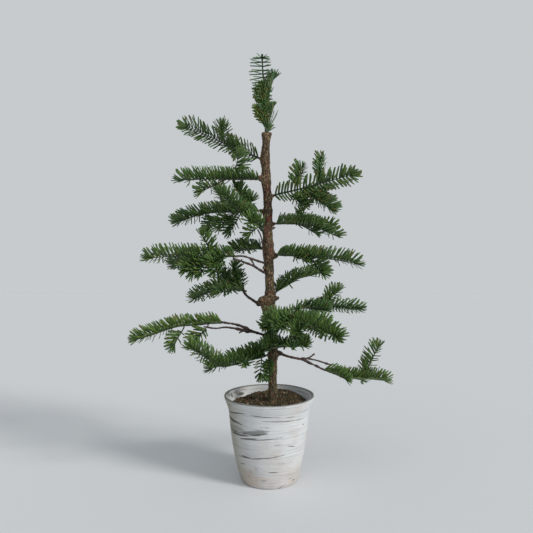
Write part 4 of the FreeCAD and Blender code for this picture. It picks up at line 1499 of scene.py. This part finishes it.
def soil_top(x, y, reach, crown):
    """Height of the heaped soil: higher at the back right, lower at the left."""
    away = min(math.hypot(x, y) / reach, 1)
    heaped = 0.0
    for height, middle_x, middle_y, wide, deep in SOIL_SWELLS:
        across = (x - middle_x * reach) / (wide * reach)
        back = (y - middle_y * reach) / (deep * reach)
        heaped += height * math.exp(-(across**2) - back**2)
    at = Vector((x, y, 0))
    lumps = noise.noise(at * 62) * 1.5 + noise.noise(at * 150 + Vector((3, 0, 0))) * 1.1
    return crown + (heaped + lumps - 2.4 * away**3) * MM


CHIP_KINDS = 3
CHIPS_OF_A_KIND = 640


def dress_soil(finish):
    """Mound of packed crumbs under a loose layer of bark chips and grit."""
    low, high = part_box("soil_cover")
    crown = high.z
    reach = high.x - 0.2 * MM
    outline = [
        (0.0, low.z), (reach - 3 * MM, low.z), (reach - 0.6 * MM, crown - 7 * MM),
        (reach - 0.6 * MM, crown - 2 * MM), (0.36 * reach, crown), (0.0, crown),
    ]
    mound = spun("mound", subdivided(softened(outline, 1), 1.6 * MM), 96)
    points = points_of(mound)
    for spot in points:
        if spot[2] > crown - 4 * MM:
            fine = noise.noise(Vector((spot[0], spot[1], 0)) * 420) * 0.8 * MM
            spot[2] = soil_top(spot[0], spot[1], reach, crown) + fine
    set_points(mound, points)
    paint(mound, tint_rows(len(points), 0.3))
    mound.data.materials.append(finish)
    chance = random.Random(21)
    pieces = [mound]
    for kind in range(CHIP_KINDS):
        chip = chip_pattern("chip", 40 + kind)
        chip_points = points_of(chip)
        copies, tints = [], []
        for _ in range(CHIPS_OF_A_KIND):
            away = math.sqrt(chance.uniform(0.012, 1)) * (reach - 1.4 * MM)
            turn = chance.uniform(0, 2 * math.pi)
            x, y = math.cos(turn) * away, math.sin(turn) * away
            length = chance.choice((1.6, 2.2, 2.8, 3.6, 4.8)) * chance.uniform(0.8, 1.2) * MM
            size = np.array([length, length * chance.uniform(0.45, 0.9), length * chance.uniform(0.3, 0.7)])
            tilt = Matrix.Rotation(chance.uniform(0, 6.28), 3, "Z")
            tilt = tilt @ Matrix.Rotation(chance.gauss(0, 0.5), 3, "Y")
            place = np.array([x, y, soil_top(x, y, reach, crown) + chance.uniform(0, 1.0) * MM])
            copies.append(turned_copy(chip_points, size, tilt, place))
            tints.append(tint_rows(len(chip_points), chance.random()))
        chips = planted(f"chips_{kind}", chip, copies, tints)
        chips.data.materials.append(finish)
        remove(chip)
        pieces.append(chips)
    soil = join("crumb_mound", pieces)
    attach(soil, "stand")
    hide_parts("soil_cover")


# ------------------------------------------------------------------ floor, light, camera


FLOOR_COLOUR = (0.685, 0.700, 0.710, 1)
BACKGROUND_COLOUR = (0.570, 0.597, 0.616, 1)
# Lamps: name, where their light comes from, spread in degrees, strength and colour.
LAMPS = [
    ("window", (1.0, -0.62, 0.62), 16, 2.3, (1.0, 0.985, 0.96)),
    ("room", (-0.5, -0.9, 1.2), 70, 0.5, (0.92, 0.96, 1.0)),
]
CAMERA_PLACE = (-0.0037, -0.776, 0.318)
# How far the camera looks down, in degrees, and its lens and sensor in millimetres.
CAMERA_DIP = 0.9
CAMERA_LENS, CAMERA_SENSOR = 36.47, 36


def set_stage():
    """Plain pale floor, soft light from the right and above, and the camera."""
    floor = added(bpy.ops.mesh.primitive_plane_add, "floor", size=8)
    made, tree, shader = new_material("pale_floor", 0.8)
    shader.inputs["Base Color"].default_value = FLOOR_COLOUR
    shader.inputs["Specular IOR Level"].default_value = 0.1
    floor.data.materials.append(made)
    world = bpy.data.worlds.new("studio")
    bpy.context.scene.world = world
    world.use_nodes = True
    tree = world.node_tree
    lit = tree.nodes["Background"]
    lit.inputs["Color"].default_value = (0.90, 0.95, 1.0, 1)
    lit.inputs["Strength"].default_value = 0.42
    pale = put(tree, "ShaderNodeBackground", {"Color": BACKGROUND_COLOUR, "Strength": 1.0})
    seen = put(tree, "ShaderNodeLightPath").outputs
    direct = maths(tree, "MAXIMUM", seen["Is Camera Ray"], seen["Is Glossy Ray"])
    direct = maths(tree, "MAXIMUM", direct, seen["Is Transmission Ray"])
    mixed = put(tree, "ShaderNodeMixShader", {"Fac": direct})
    tree.links.new(lit.outputs[0], mixed.inputs[1])
    tree.links.new(pale.outputs[0], mixed.inputs[2])
    tree.links.new(mixed.outputs[0], tree.nodes["World Output"].inputs["Surface"])
    for name, place, spread, strength, colour in LAMPS:
        data = bpy.data.lights.new(name, "SUN")
        data.angle, data.energy, data.color = math.radians(spread), strength, colour
        lamp = bpy.data.objects.new(name, data)
        lamp.rotation_euler = (-Vector(place)).to_track_quat("-Z", "Y").to_euler()
        bpy.context.scene.collection.objects.link(lamp)
    data = bpy.data.cameras.new("camera")
    data.lens, data.sensor_width = CAMERA_LENS, CAMERA_SENSOR
    camera = bpy.data.objects.new("camera", data)
    camera.location = CAMERA_PLACE
    camera.rotation_euler = (math.radians(90 - CAMERA_DIP), 0, 0)
    bpy.context.scene.collection.objects.link(camera)
    bpy.context.scene.camera = camera
    bpy.context.scene.view_settings.view_transform = "Standard"


# ----------------------------------------------------------------------- put it together


BRANCHES = sorted(name for name in frame["bodies"] if name != "stand")

bark, twig = bark_material(), twig_material()
needle_finish, spine_finish = needle_material(), spine_material()
dress_pot(pot_material(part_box("pot")[1].z))
dress_soil(crumb_material())
dress_trunk(bark)
needle, spine = needle_pattern(), spine_pattern()
dress_wire(spine, twig)
for number, branch in enumerate(BRANCHES):
    dress_stem(branch, number, spine, twig)
    dress_branch(branch, number, needle, spine, needle_finish, spine_finish)
remove(needle)
remove(spine)
for name, finish in (("pot_weight", cement_material()), ("trunk_core", steel_material())):
    plain = frame["nodes"][name].data
    plain.materials.clear()
    plain.materials.append(finish)
set_stage()
